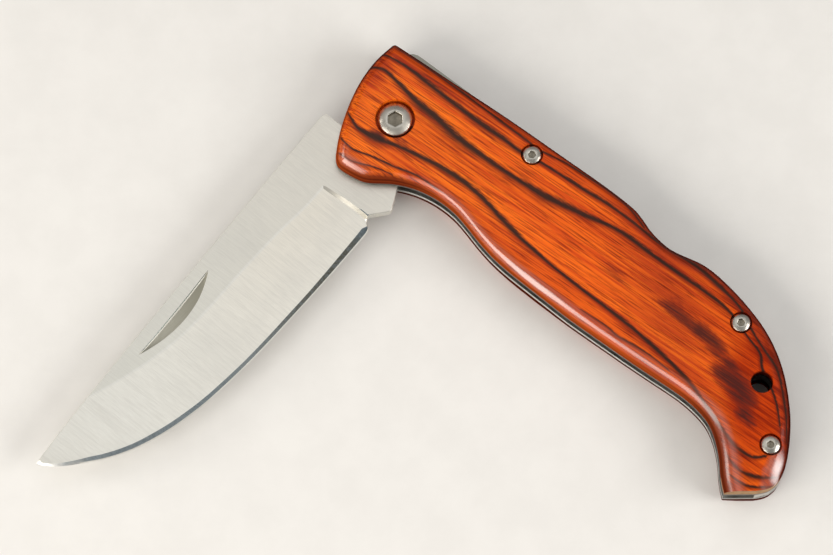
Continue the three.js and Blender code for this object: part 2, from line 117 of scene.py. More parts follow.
def catmull(points, n):
    """n + 1 points, evenly spaced along a uniform Catmull-Rom curve."""
    p = np.asarray(points, float)
    k = len(p)
    t = np.linspace(0, k - 1, 40 * (k - 1) + 1)
    i = np.minimum(t.astype(int), k - 2)
    w = (t - i)[:, None]
    p0, p1, p2, p3 = p[np.maximum(i - 1, 0)], p[i], p[i + 1], p[np.minimum(i + 2, k - 1)]
    v0, v1 = 0.5 * (p2 - p0), 0.5 * (p3 - p1)
    q = (2 * p1 - 2 * p2 + v0 + v1) * w**3 + (-3 * p1 + 3 * p2 - 2 * v0 - v1) * w**2 + v0 * w + p1
    s = np.r_[0, np.cumsum(np.linalg.norm(np.diff(q, axis=0), axis=1))]
    u = np.linspace(0, s[-1], n + 1)
    return np.stack([np.interp(u, s, q[:, 0]), np.interp(u, s, q[:, 1])], -1)


def unit(v):
    return v / np.linalg.norm(v, axis=-1, keepdims=True)


def circle(c, r, n):
    t = np.linspace(0, 2 * np.pi, n, endpoint=False)
    return np.stack([c[0] + r * np.cos(t), c[1] + r * np.sin(t)], -1)


def inside(poly, pts):
    poly, pts = np.asarray(poly, float), np.asarray(pts, float)
    x, y = pts[:, 0][:, None], pts[:, 1][:, None]
    x0, y0 = poly[:, 0][None], poly[:, 1][None]
    x1, y1 = np.roll(poly[:, 0], -1)[None], np.roll(poly[:, 1], -1)[None]
    cross = (y0 > y) != (y1 > y)
    with np.errstate(divide="ignore", invalid="ignore"):
        xi = x0 + (y - y0) * (x1 - x0) / (y1 - y0)
    return (np.sum(cross & (x < xi), axis=1) % 2) == 1


def distance(line, pts, closed=False):
    """Distance of each point to a polyline."""
    a = np.asarray(line, float)
    b = np.roll(a, -1, axis=0) if closed else a[1:]
    a = a if closed else a[:-1]
    pts = np.asarray(pts, float)
    best = np.full(len(pts), 1e9)
    for p, q in zip(a, b):
        d = q - p
        l = max(float(d @ d), 1e-12)
        t = np.clip(((pts - p) @ d) / l, 0, 1)[:, None]
        best = np.minimum(best, np.linalg.norm(pts - (p + t * d), axis=1))
    return best


def triangulate(loops, lines=(), points=()):
    """Triangles inside loops[0] and outside the other loops."""
    vs, es = [], []
    for loop in loops:
        k = len(vs)
        vs += [Vector(p) for p in loop]
        es += [(k + i, k + (i + 1) % len(loop)) for i in range(len(loop))]
    for line in lines:
        k = len(vs)
        vs += [Vector(p) for p in line]
        es += [(k + i, k + i + 1) for i in range(len(line) - 1)]
    vs += [Vector(p) for p in points]
    v, _, f, _, _, _ = delaunay_2d_cdt(vs, es, [], 0, 1e-5)
    v = np.array([(p.x, p.y) for p in v])
    f = np.array([t for t in f if len(t) == 3])
    c = v[f].mean(axis=1)
    keep = inside(loops[0], c)
    for hole in loops[1:]:
        keep &= ~inside(hole, c)
    f = f[keep]
    area = (v[f[:, 1], 0] - v[f[:, 0], 0]) * (v[f[:, 2], 1] - v[f[:, 0], 1]) \
        - (v[f[:, 1], 1] - v[f[:, 0], 1]) * (v[f[:, 2], 0] - v[f[:, 0], 0])
    f = f[np.abs(area) > 2e-5]
    area = area[np.abs(area) > 2e-5]
    f[area < 0] = f[area < 0][:, ::-1]
    return v, f


def hexgrid(poly, step, margin, holes=(), lines=(), line_margin=0.5):
    poly = np.asarray(poly)
    lo, hi = poly.min(axis=0), poly.max(axis=0)
    pts = []
    dy = step * 0.866
    for j in range(int((hi[1] - lo[1]) / dy) + 2):
        for i in range(int((hi[0] - lo[0]) / step) + 2):
            pts.append((lo[0] + (i + 0.5 * (j % 2)) * step, lo[1] + j * dy))
    pts = np.array(pts)
    pts = pts[inside(poly, pts)]
    pts = pts[distance(poly, pts, True) > margin]
    for c, r in holes:
        pts = pts[np.linalg.norm(pts - np.array(c), axis=1) > r]
    for line in lines:
        pts = pts[distance(line, pts) > line_margin]
    return pts


def offset_loop(loop, d):
    """A closed counter-clockwise loop moved inwards by d, mitred."""
    p = np.asarray(loop, float)
    e = unit(np.roll(p, -1, axis=0) - p)
    n1 = np.stack([-e[:, 1], e[:, 0]], -1)       # inward normal of the edge after
    n0 = np.roll(n1, 1, axis=0)
    m = unit(n0 + n1)
    c = np.clip(np.sum(m * n1, axis=1), 0.5, 1)[:, None]
    return p + m * d / c


def ccw(loop):
    p = np.asarray(loop, float)
    q = np.roll(p, -1, axis=0)
    return p if np.sum(p[:, 0] * q[:, 1] - q[:, 0] * p[:, 1]) > 0 else p[::-1]


# ------------------------------------------------------------------ mesh builder
class Build:
    def __init__(self):
        self.v, self.f, self.m = [], [], []

    def add(self, verts, faces, mat=0, flip=False):
        k = len(self.v)
        self.v += [tuple(map(float, p)) for p in verts]
        for i, f in enumerate(faces):
            f = [k + int(j) for j in f]
            self.f.append(f[::-1] if flip else f)
            self.m.append(int(mat[i]) if hasattr(mat, "__len__") else mat)

    def band(self, lower, upper, mat=0, flip=False):
        """Quads between two closed rings of the same length."""
        n = len(lower)
        k = [(i, (i + 1) % n, n + (i + 1) % n, n + i) for i in range(n)]
        self.add(list(lower) + list(upper), k, mat, flip)

    def object(self, name, materials, sharp=32.0, merge=0.002, centre=True):
        mesh = bpy.data.meshes.new(name)
        bm = bmesh.new()
        vs = [bm.verts.new(p) for p in self.v]
        for f, m in zip(self.f, self.m):
            if len(set(f)) < 3:
                continue
            try:
                face = bm.faces.new([vs[i] for i in f])
            except ValueError:
                continue
            face.material_index = m
        bmesh.ops.remove_doubles(bm, verts=bm.verts[:], dist=merge)
        bmesh.ops.dissolve_degenerate(bm, dist=1e-5, edges=bm.edges[:])
        loose = [v for v in bm.verts if not v.link_faces]
        bmesh.ops.delete(bm, geom=loose, context="VERTS")
        bmesh.ops.recalc_face_normals(bm, faces=bm.faces[:])
        for f in bm.faces:
            f.smooth = True
        for e in bm.edges:
            if len(e.link_faces) == 2:
                a, b = e.link_faces
                e.smooth = math.degrees(a.normal.angle(b.normal, 0.0)) < sharp \
                    and not (a.material_index != b.material_index and sharp < 180)
        shift = Matrix.Translation(Vector((-CENTRE[0], -CENTRE[1], 0)))
        bm.transform(Matrix.Scale(0.001, 4) @ (shift if centre else Matrix.Identity(4)))
        bm.to_mesh(mesh)
        bm.free()
        for m in materials:
            mesh.materials.append(m)
        o = bpy.data.objects.new(name, mesh)
        bpy.context.scene.collection.objects.link(o)
        return o


def ring3(loop, z):
    loop = np.asarray(loop)
    return np.c_[loop, np.full(len(loop), z)]


def plate_mesh(name, outer, holes, z0, z1, mats, chamfer=0.12, sharp=32.0):
    """A flat plate with softly broken edges."""
    b = Build()
    outer = ccw(outer)
    inner = offset_loop(outer, chamfer)
    hole_loops = [circle(c, r, n) for c, r, n in holes]
    hole_wide = [circle(c, r + chamfer * 0.7, n) for c, r, n in holes]
    v, f = triangulate([inner] + hole_wide)
    b.add(np.c_[v, np.full(len(v), z1)], f)
    b.add(np.c_[v, np.full(len(v), z0)], f, flip=True)
    b.band(ring3(outer, z0 + chamfer), ring3(outer, z1 - chamfer))
    b.band(ring3(outer, z1 - chamfer), ring3(inner, z1))
    b.band(ring3(inner, z0), ring3(outer, z0 + chamfer))
    for h, w in zip(hole_loops, hole_wide):
        c7 = chamfer * 0.7
        b.band(ring3(h, z0 + c7), ring3(h, z1 - c7), flip=True)
        b.band(ring3(h, z1 - c7), ring3(w, z1), flip=True)
        b.band(ring3(w, z0), ring3(h, z0 + c7), flip=True)
    return b.object(name, mats, sharp)


# ------------------------------------------------------------------ handle outline
spine_run = catmull(SPINE_SIDE, 170)
belly_run = catmull(BELLY_SIDE, 170)
front_run = catmull(FRONT_SIDE, 34)


BUTT = np.array([69.72, -81.6])


def corner(point, r, n_a, n_b):
    """A tight corner: an arc that the rounding turns into a mitre."""
    n_a, n_b = unit(np.array(n_a)), unit(np.array(n_b))
    bis = unit(n_a + n_b)
    half = math.acos(float(bis @ n_a))
    c0 = point - bis * r / math.cos(half)
    return [("arc", c0, unit(n_a * (1 - k / 6) + n_b * k / 6), bis, half, r) for k in range(7)]


def rim(flat_butt):
    """Outline vertices with the way that the edge rounding draws each one in."""
    rows = []

    def side(run, skip):
        t = np.gradient(run, axis=0)
        n = -unit(np.stack([-t[:, 1], t[:, 0]], -1))      # the inside is on the right
        for p, m in zip(run, n):
            if any(np.linalg.norm(p - c) < r for c, r in skip):
                continue
            e = 0.0
            if flat_butt and p[1] < -77.9 and p[0] > 74.0:
                e = float(distance(LONG_SPINE, [p])[0])
            rows.append(("free", p, m, e))

    near = [(CORNER, 2.1)]
    if flat_butt:
        side(spine_run, near)
        a, b = np.array([76.4, -81.55]), BUTT
        length = np.linalg.norm(b - a)
        d = (a - b) / length
        for t in [length - 1.6, length - 3.0, 3.1, 2.6, 2.4] + [
                ROUND_IN * (1 - math.cos(x)) for x in np.radians([81, 72, 63, 54, 45, 36, 27, 18, 9])]:
            rows.append(("free", b + d * t, d, t))
        rows.append(("free", b, d, 0.0))
        side(belly_run[1:], near)
    else:
        near.append((BUTT, 2.0))
        side(spine_run, near)
        for x in (75.2, 73.8, 72.4):
            rows.append(("free", np.array([x, -81.56]), np.array([0.0, 1.0]), 0.0))
        rows.extend(corner(BUTT, 0.3, (0.0, -1.0), (-0.979, -0.206)))
        side(belly_run[1:], near)
    side(front_run[1:], near)
    rows.extend(corner(CORNER, CORNER_R, (-0.664, 0.747), (0.559, 0.829)))
    return rows


LONG_SPINE = np.array([(81.97, -77.9), (81.2, -81.0), (80.6, -87.0)])
# How hand sanding left the edge, and where its wall gets painted shade: share of the way along the belly from the butt,
# reach inwards, depth, roundness (2 is an ellipse, less is flatter), polish, painted wall shade.
BELLY_EDGE = np.array([
    (0.00, 3.8, 3.0, 2.00, 0.65, 1.0), (0.04, 3.8, 3.0, 2.00, 0.65, 1.0), (0.10, 3.4, 3.0, 2.00, 0.60, 1.0),
    (0.16, 3.0, 3.0, 2.00, 0.55, 0.7), (0.22, 2.5, 3.4, 2.00, 0.48, 0.1), (0.34, 2.3, 3.2, 2.00, 0.52, 0.0),
    (0.40, 2.2, 3.0, 2.00, 0.60, 0.0), (0.46, 2.2, 2.6, 1.80, 0.75, 0.0), (0.50, 2.1, 2.0, 1.55, 0.95, 0.0),
    (0.53, 2.0, 1.7, 1.45, 1.00, 0.0), (0.57, 2.0, 1.75, 1.50, 1.00, 0.0), (0.61, 2.0, 2.2, 1.70, 0.92, 0.0),
    (0.66, 1.8, 2.4, 1.90, 0.80, 0.0), (0.70, 1.65, 2.5, 2.00, 0.80, 0.0), (0.75, 1.75, 2.6, 2.00, 0.75, 0.0),
    (0.79, 2.1, 2.9, 2.00, 0.42, 0.3), (0.83, 2.5, 3.2, 2.00, 0.16, 0.8), (0.87, 3.0, 3.4, 2.00, 0.10, 1.0),
    (0.91, 3.2, 3.4, 2.00, 0.16, 1.0), (0.94, 3.1, 3.4, 2.00, 0.50, 0.8), (0.97, 3.0, 3.4, 2.00, 0.85, 0.5),
    (1.00, 2.8, 3.5, 2.00, 0.50, 0.2)])
PLAIN_EDGE = np.array([2.6, 3.6, 2.0, 0.08, 0.0])
BUTT_EDGE = np.array([3.6, 1.9, 1.4, 1.0, 0.0])


def edge_table(guide):
    """Rounding, wear and painted wall shade at each vertex of the line that the rounding follows."""
    g = np.asarray(guide, float)
    s = np.r_[0, np.cumsum(np.linalg.norm(np.diff(belly_run, axis=0), axis=1))]
    near = np.linalg.norm(g[:, None] - belly_run[None], axis=2)
    u = s[near.argmin(axis=1)] / s[-1]
    belly = np.stack([np.interp(u, BELLY_EDGE[:, 0], BELLY_EDGE[:, j]) for j in range(1, 6)], -1)
    t = np.clip((-g[:, 1:] - [67.0, 67.0, 67.0, 72.0, 67.0]) / [8.0, 8.0, 8.0, 4.5, 8.0], 0, 1)
    other = PLAIN_EDGE + (BUTT_EDGE - PLAIN_EDGE) * t * t * (3 - 2 * t)
    off = np.clip(near.min(axis=1) / 3.0, 0, 1)[:, None]
    off[(g[:, 0] < 72) & (g[:, 1] < -81.7)] = 0.0
    return belly + (other - belly) * off


def follow(line, values, pts):
    """Distance of each point to a polyline, and its values at the nearest place."""
    line, pts = np.asarray(line, float), np.asarray(pts, float)
    best, out = np.full(len(pts), 1e9), np.zeros((len(pts), values.shape[1]))
    for p, q, v0, v1 in zip(line[:-1], line[1:], values[:-1], values[1:]):
        d = q - p
        t = np.clip(((pts - p) @ d) / max(float(d @ d), 1e-12), 0, 1)[:, None]
        r = np.linalg.norm(pts - (p + t * d), axis=1)
        m = r < best
        best[m] = r[m]
        out[m] = (v0 + t * (v1 - v0))[m]
    return best, out


RIM_FLAT, RIM_ROUND = rim(True), rim(False)


def rim_loop(rows, depth):
    """The outline drawn in by depth, and the depth that each vertex really has."""
    p, e = [], []
    for row in rows:
        if row[0] == "free":
            _, q, m, own = row
            p.append(q + m * max(depth - own, 0.0))
            e.append(max(depth, own))
        else:
            _, c0, n, bis, half, r = row
            p.append(c0 + n * (r - depth) if depth < r else c0 - bis * (depth - r) / math.cos(half))
            e.append(depth)
    return np.array(p), np.array(e)


OUTLINE, _ = rim_loop(RIM_FLAT, 0.0)


def dedupe(loop, tol=0.001):
    out = [loop[0]]
    for p in loop[1:]:
        if np.linalg.norm(p - out[-1]) > tol:
            out.append(p)
    if np.linalg.norm(out[0] - out[-1]) <= tol:
        out.pop()
    return np.array(out)


# ------------------------------------------------------------------ wood figure
# Dark glue lines of the laminated wood, each a drawn line with the half width
# of its dark core. The face cuts them at a slant, so they swell and thin out.
VEINS = [
    [(0.3, 16.0, .12), (6.9, 11.7, .16), (12.7, 7.3, .17), (20.8, 1.0, .18), (27.5, -4.2, .17),
     (32.0, -7.5, .16), (37.3, -10.2, .17), (48.2, -17.7, .15), (53.6, -24.4, .12)],
    [(-3.4, 15.0, .16), (-2.2, 14.4, .20), (2.3, 11.7, .36), (6.9, 8.1, .44), (12.7, 3.4, .46),
     (18.0, -0.8, .46), (23.4, -4.6, .42), (26.6, -7.1, .36), (32.0, -10.2, .34), (40.1, -15.5, .32),
     (46.1, -19.3, .30), (54.3, -25.7, .30), (57.7, -28.1, .32), (64.1, -32.4, .34), (68.3, -36.2, .32),
     (73.3, -41.5, .26), (76.0, -46.8, .24), (78.7, -51.3, .24), (81.4, -55.7, .24), (82.5, -61.3, .22),
     (83.0, -66.1, .18), (83.0, -71.0, .12)],
    [(-6.0, 12.0, .18), (-4.9, 11.7, .26), (-2.2, 10.8, .36), (0.6, 8.1, .44), (4.5, 3.9, .58),
     (8.6, 0.5, .72), (13.5, -4.2, .70), (18.9, -8.4, .60), (24.0, -12.0, .58), (28.0, -14.6, .68),
     (32.1, -17.2, .78), (36.4, -19.4, .66), (40.5, -21.4, .50), (48.1, -25.0, .40), (56.2, -31.1, .42),
     (65.9, -38.1, .38), (71.4, -42.8, .34), (75.0, -48.1, .20), (77.7, -51.9, .22), (78.1, -55.2, .2),
     (80.3, -60.4, .20), (81.2, -64.1, .20), (81.6, -67.8, .14)],
    [(-10.6, 2.6, .16), (-9.9, 1.0, .20), (-8.0, -2.1, .34), (-4.2, -4.2, .80), (0.3, -6.0, .40),
     (4.5, -8.0, .38), (9.2, -10.4, .44), (14.7, -14.0, .48), (18.8, -17.7, .52), (22.5, -21.8, .50),
     (27.6, -27.2, .40), (33.7, -32.7, .34), (39.9, -37.8, .34), (45.8, -42.4, .34), (52.8, -48.3, .36),
     (58.0, -53.3, .40), (62.9, -58.5, .38), (66.5, -63.7, .34), (69.2, -67.8, .30), (71.9, -71.6, .28),
     (75.5, -74.2, .26), (78.3, -74.0, .20)],
    [(-12.2, -2.6, .12), (-11.6, -4.2, .16), (-9.2, -6.8, .22), (-5.0, -8.4, .20), (-0.5, -10.6, .18),
     (4.5, -12.6, .16), (9.5, -15.9, .10)],
    [(70.3, -73.6, .08), (71.2, -75.3, .18), (73.0, -77.1, .26), (75.5, -78.3, .34), (78.2, -78.7, .34),
     (80.2, -78.3, .12)],
    [(70.9, -78.0, .08), (72.2, -79.2, .15), (74.7, -80.5, .19), (79.0, -80.7, .17), (82.0, -79.6, .10)],
    [(-12.6, -7.0, .10), (-9.6, -9.3, .15), (-5.2, -10.6, .14), (-0.6, -12.3, .08)],
    [(39.6, -42.2, .08), (45.1, -45.9, .16), (47.2, -47.9, .19), (50.4, -49.7, .20), (52.6, -51.1, .19),
     (54.9, -52.7, .15), (58.4, -55.6, .08)],
]
# smoky spots: x, y, half length along the fibres, half width, strength
SMOKE = [
    (58.7, -41.7, 2.4, 0.80, 0.55),
    (60.2, -40.2, 2.0, 0.60, 0.35),
    (61.4, -44.1, 2.0, 0.80, 0.55),
    (65.1, -47.0, 2.3, 1.05, 0.95),
    (67.7, -49.2, 2.2, 0.90, 0.60),
    (68.8, -51.6, 2.0, 0.90, 0.50),
    (71.5, -54.2, 1.3, 0.70, 0.65),
    (69.8, -56.2, 2.4, 1.20, 0.60),
    (72.6, -58.4, 2.8, 1.40, 0.75),
    (73.3, -61.3, 1.9, 1.10, 0.70),
    (75.4, -62.1, 1.6, 0.80, 0.45),
    (73.9, -65.0, 1.5, 0.90, 0.90),
    (75.4, -67.0, 1.2, 0.70, 0.45),
    (46.1, -32.9, 2.6, 1.10, 0.22),
    (48.5, -36.0, 2.6, 1.00, 0.22),
    (43.8, -30.3, 2.0, 0.80, 0.14),
    (-3.7, -3.7, 1.5, 0.50, 0.80),
    (1.2, -5.0, 2.2, 0.50, 0.45),
]


def vein_fields(line, xy):
    """Signed distance to a vein, and its half width at the nearest point."""
    line = np.asarray(line, float)
    length = np.sum(np.linalg.norm(np.diff(line[:, :2], axis=0), axis=1))
    n = max(int(length / 0.8), 8)
    p = catmull(line[:, :2], n)
    s0 = np.r_[0, np.cumsum(np.linalg.norm(np.diff(line[:, :2], axis=0), axis=1))]
    s1 = np.r_[0, np.cumsum(np.linalg.norm(np.diff(p, axis=0), axis=1))]
    w = np.interp(s1 / s1[-1], s0 / s0[-1], line[:, 2])
    best = np.full(len(xy), 1e9)
    sign, width = np.ones(len(xy)), np.zeros(len(xy))
    for i in range(len(p) - 1):
        d = p[i + 1] - p[i]
        r = xy - p[i]
        t = np.clip(r @ d / (d @ d), 0, 1)
        q = r - t[:, None] * d
        dist = np.linalg.norm(q, axis=1)
        m = dist < best
        best[m] = dist[m]
        sign[m] = np.sign(d[0] * r[m, 1] - d[1] * r[m, 0])
        width[m] = w[i] + (w[i + 1] - w[i]) * t[m]
    return best * np.where(sign == 0, 1, sign), width


def set_attribute(o, name, values):
    at = o.data.attributes.new(name, "FLOAT", "POINT")
    at.data.foreach_set("value", np.asarray(values, np.float32))


def wood_attributes(o, face_z, sign, guide):
    co = np.empty(len(o.data.vertices) * 3)
    o.data.vertices.foreach_get("co", co)
    co = co.reshape(-1, 3) * 1000
    xy = co[:, :2] + CENTRE
    down = np.maximum(face_z - co[:, 2] if sign > 0 else co[:, 2] - face_z, 0)
    for i, line in enumerate(VEINS):
        d, w = vein_fields(line, xy)
        set_attribute(o, "vein%d" % i, np.clip(d, -12, 12))
        set_attribute(o, "width%d" % i, w)
    knot = np.zeros(len(xy))
    fibre = turned(35.5)(xy)
    for x, y, length, width, strength in SMOKE:
        q = (fibre - turned(35.5)(np.array([x, y]))) / (length * 1.25, width * 1.5)
        knot = 1 - (1 - knot) * (1 - min(strength * 1.2, 1.0) * np.exp(-np.sum(q**2, axis=1)))
    set_attribute(o, "knot", knot)
    side = np.clip((down - CROWN) / 3.3, 0, 1)
    for c, r in ((PIVOT, 4.4), (LOCK_PIN, 2.5), (UPPER_REAR, 2.5), (LOWER_REAR, 2.5)):
        side = np.where(np.linalg.norm(xy - np.array(c), axis=1) < r, np.minimum(side, 0.30), side)
    set_attribute(o, "side", side)
    depth, edge = follow(guide, edge_table(guide), xy)
    set_attribute(o, "rim", depth)
    # 1 by the spine, 0 by the belly
    d0, d1 = distance(spine_run, xy), distance(belly_run, xy)
    set_attribute(o, "spine", d1 / (d0 + d1 + 1e-6))
    # worn bright along the belly and at the butt's corner
    near = 1 - np.clip((depth - edge[:, 0] + 0.6) / 1.0, 0, 1)
    plain = np.interp(xy[:, 0], [-10, 60, 80], [0.09, 0.035, 0.015])
    set_attribute(o, "polish", plain + (edge[:, 3] - plain) * near)
    # painted shade beside the coat highlight on the rounded edge
    set_attribute(o, "shade", edge[:, 3] * (1 - np.clip((depth - edge[:, 0] - 0.1) / 0.8, 0, 1)))
    set_attribute(o, "fresh", np.clip((30.0 - xy[:, 0]) / 16.0, 0, 1))
    # painted shade on the wall near the butt and near the nose
    set_attribute(o, "painted_wall_shade", edge[:, 4])
    set_attribute(o, "rear", np.clip((xy[:, 0] - 42.0) / 28.0, 0, 1))
    set_attribute(o, "dusk", np.exp(-((xy[:, 0] - 58.5) / 10.0)**2))
    set_attribute(o, "rust", np.exp(-((xy[:, 0] - 76.5) / 8.0)**2 - ((xy[:, 1] + 61.0) / 16.0)**2))


# ------------------------------------------------------------------ shader helpers
class Nodes:
    def __init__(self, name):
        self.mat = bpy.data.materials.new(name)
        self.mat.use_nodes = True
        self.t = self.mat.node_tree
        self.bsdf = self.t.nodes["Principled BSDF"]

    def new(self, kind, **kw):
        n = self.t.nodes.new(kind)
        for k, v in kw.items():
            setattr(n, k, v)
        return n

    def link(self, a, b):
        self.t.links.new(a, b)

    def put(self, socket, v):
        if isinstance(v, (int, float, tuple)):
            socket.default_value = v
        else:
            self.link(v, socket)

    def math(self, op, a, b=None, c=None, clamp=False):
        n = self.new("ShaderNodeMath", operation=op, use_clamp=clamp)
        self.put(n.inputs[0], a)
        if b is not None:
            self.put(n.inputs[1], b)
        if c is not None:
            self.put(n.inputs[2], c)
        return n.outputs[0]

    def ramp(self, v, a, b, lo=0.0, hi=1.0, smooth=True):
        n = self.new("ShaderNodeMapRange")
        n.interpolation_type = "SMOOTHSTEP" if smooth else "LINEAR"
        self.put(n.inputs["Value"], v)
        n.inputs["From Min"].default_value = a
        n.inputs["From Max"].default_value = b
        n.inputs["To Min"].default_value = lo
        n.inputs["To Max"].default_value = hi
        return n.outputs["Result"]

    def mix(self, f, a, b, blend="MIX"):
        n = self.new("ShaderNodeMix", data_type="RGBA", blend_type=blend)
        self.put(n.inputs[0], f)
        self.put(n.inputs[6], a if not isinstance(a, tuple) else (*a, 1.0)[:4])
        self.put(n.inputs[7], b if not isinstance(b, tuple) else (*b, 1.0)[:4])
        return n.outputs[2]

    def attribute(self, name):
        return self.new("ShaderNodeAttribute", attribute_name=name).outputs["Fac"]

    def coords(self, angle=0.0, scale=(1, 1, 1), loc=(0, 0, 0)):
        """Object coordinates turned by angle about z, then scaled (per metre)."""
        tc = self.new("ShaderNodeTexCoord").outputs["Object"]
        m1 = self.new("ShaderNodeMapping", vector_type="POINT")
        m1.inputs["Rotation"].default_value = (0, 0, math.radians(-angle))
        m2 = self.new("ShaderNodeMapping", vector_type="POINT")
        m2.inputs["Scale"].default_value = scale
        m2.inputs["Location"].default_value = loc
        self.link(tc, m1.inputs["Vector"])
        self.link(m1.outputs[0], m2.inputs["Vector"])
        return m2.outputs[0]

    def noise(self, vec, scale=1.0, detail=3.0, rough=0.5, distortion=0.0):
        n = self.new("ShaderNodeTexNoise")
        self.link(vec, n.inputs["Vector"])
        n.inputs["Scale"].default_value = scale
        n.inputs["Detail"].default_value = detail
        n.inputs["Roughness"].default_value = rough
        n.inputs["Distortion"].default_value = distortion
        return n.outputs["Fac"]

    def bump(self, height, strength, distance_mm, normal=None):
        n = self.new("ShaderNodeBump")
        n.inputs["Strength"].default_value = strength
        n.inputs["Distance"].default_value = distance_mm * 0.001
        self.link(height, n.inputs["Height"])
        if normal is not None:
            self.link(normal, n.inputs["Normal"])
        return n.outputs["Normal"]

    def set(self, **kw):
        for k, v in kw.items():
            self.put(self.bsdf.inputs[k.replace("_", " ")], v)


def wood_material(name, seed, back):
    n = Nodes(name)
    turn = -35.5
    # long fibres, fine across
    fine = n.noise(n.coords(turn, (95, 3100, 900), (seed, 3.1, 0)), 1.0, 3.0, 0.60)
    nap = n.noise(n.coords(turn, (620, 4200, 900), (seed + 6.2, 2.1, 0)), 1.0, 3.0, 0.6)
    streak = n.noise(n.coords(turn, (26, 1150, 500), (seed + 4.2, 0.3, 0)), 1.0, 3.0, 0.6)
    broad = n.noise(n.coords(turn, (20, 150, 90), (seed + 9.7, 1.3, 0)), 1.0, 2.0, 0.5)
    pores = n.noise(n.coords(turn, (110, 4600, 1500), (seed + 2.7, 5.3, 0)), 1.0, 2.0, 0.5)
    cloud = n.noise(n.coords(turn, (70, 190, 120), (seed + 1.7, 8.3, 0)), 1.0, 3.0, 0.55)
    side, knot, spine = n.attribute("side"), n.attribute("knot"), n.attribute("spine")
    rim, rear = n.attribute("rim"), n.attribute("rear")
    # feathered veins: the fibres pull each line to and fro
    wander = n.math("MULTIPLY_ADD", fine, 0.8, n.math("MULTIPLY_ADD", streak, 0.8, n.math("MULTIPLY_ADD", broad, 0.4, n.math("MULTIPLY", nap, 0.5))))
    wander = n.math("SUBTRACT", wander, 1.25)
    swell = n.ramp(cloud, 0.30, 0.72, 0.85, 1.45)
    ragged = n.math("MULTIPLY_ADD", nap, 1.1, n.math("MULTIPLY_ADD", fine, 1.0, -1.05))
    core, halo = None, None
    for i in range(len(VEINS)):
        w = n.math("MULTIPLY", n.attribute("width%d" % i), swell)
        d = n.math("MULTIPLY_ADD", wander, n.math("MULTIPLY_ADD", w, 0.80, 0.22), n.attribute("vein%d" % i))
        r = n.math("DIVIDE", n.math("ABSOLUTE", d), n.math("ADD", w, 0.03))
        c = n.ramp(n.math("ADD", r, ragged), 0.30, 1.55, 1.0, 0.0)
        h = n.ramp(n.math("DIVIDE", n.math("ABSOLUTE", n.math("ADD", d, n.math("MULTIPLY", w, 0.8))), n.math("MULTIPLY_ADD", w, 2.2, 0.22)),
                   0.15, 1.0, 1.0, 0.0)
        core = c if core is None else n.math("MAXIMUM", core, c)
        halo = h if halo is None else n.math("MAXIMUM", halo, h)
    # base colour: bright orange in the middle, redder towards the edges
    base = n.mix(n.ramp(streak, 0.34, 0.60), (0.60, 0.066, 0.007), (0.82, 0.132, 0.009))
    base = n.mix(n.ramp(fine, 0.46, 0.30, 0.0, 0.45), base, (0.92, 0.21, 0.012))
    base = n.mix(n.math("MULTIPLY", n.attribute("fresh"), n.ramp(streak, 0.30, 0.62, 0.0, 0.34)), base, (0.96, 0.225, 0.008))
    red = n.mix(n.ramp(streak, 0.34, 0.64), (0.27, 0.013, 0.003), (0.58, 0.050, 0.004))
    edge = n.ramp(n.math("MULTIPLY_ADD", cloud, 5.0, rim), 4.2, 8.2, 1.0, 0.0)
    base = n.mix(n.math("MULTIPLY", edge, n.ramp(spine, 0.40, 0.72, 0.22, 0.70)), base, red)
    base = n.mix(n.ramp(broad, 0.46, 0.70, 0.0, 0.34), base, red)
    rust = n.mix(n.ramp(streak, 0.36, 0.62), (0.25, 0.014, 0.002), (0.47, 0.038, 0.003))
    base = n.mix(n.math("MULTIPLY", n.ramp(n.math("MULTIPLY_ADD", cloud, 0.4, n.attribute("rust")), 0.35, 1.0), 0.92), base, rust)
    base = n.mix(n.math("MULTIPLY", n.attribute("dusk"), n.ramp(streak, 0.30, 0.62, 0.60, 0.34)), base, (0.32, 0.034, 0.010))
    # painted shade: the spine side is made a darker red-brown near its edge, most of all towards the butt
    spine_shade_brown = n.mix(n.ramp(streak, 0.36, 0.62), (0.10, 0.007, 0.003), (0.34, 0.028, 0.005))
    spine_shade = n.math("MULTIPLY", n.ramp(n.math("MULTIPLY_ADD", cloud, 2.4, rim), 2.2, 5.0, 1.0, 0.0), n.ramp(spine, 0.6, 0.9))
    base = n.mix(n.math("MULTIPLY", spine_shade, n.math("MULTIPLY_ADD", rear, 0.58, 0.22)), base, spine_shade_brown)
    # thin dark fibres and pores
    fibre = n.ramp(fine, 0.52, 0.64)
    base = n.mix(n.math("MULTIPLY", fibre, 0.66), base, (0.15, 0.010, 0.003))
    pore = n.ramp(pores, 0.56, 0.65)
    base = n.mix(n.math("MULTIPLY", pore, 0.66), base, (0.10, 0.007, 0.003))
    # smoky dark figure near the butt, made of dark fibres
    rough = n.math("MULTIPLY_ADD", streak, 1.3, n.math("MULTIPLY_ADD", fine, 1.2, n.math("MULTIPLY_ADD", nap, 0.7, -1.6)))
    veil = n.ramp(n.math("MULTIPLY_ADD", rough, 0.75, knot), 0.02, 0.50)
    base = n.mix(n.math("MULTIPLY", veil, n.ramp(knot, 0.03, 0.30, 0.0, 0.80)), base, (0.15, 0.016, 0.008))
    ink = n.ramp(n.math("MULTIPLY_ADD", rough, 1.0, knot), 0.30, 0.98)
    base = n.mix(n.math("MULTIPLY", ink, n.ramp(knot, 0.12, 0.5, 0.0, 0.80)), base, (0.040, 0.013, 0.012))
    base = n.mix(n.math("MULTIPLY", halo, 0.62), base, (0.15, 0.012, 0.004))
    base = n.mix(n.math("MULTIPLY", core, 0.94), base, (0.020, 0.013, 0.010))
    # painted shade: darker beside and under the coat highlight along the rounded edge
    base = n.mix(n.math("MULTIPLY", n.attribute("shade"), 0.62), base, (0.27, 0.046, 0.012))
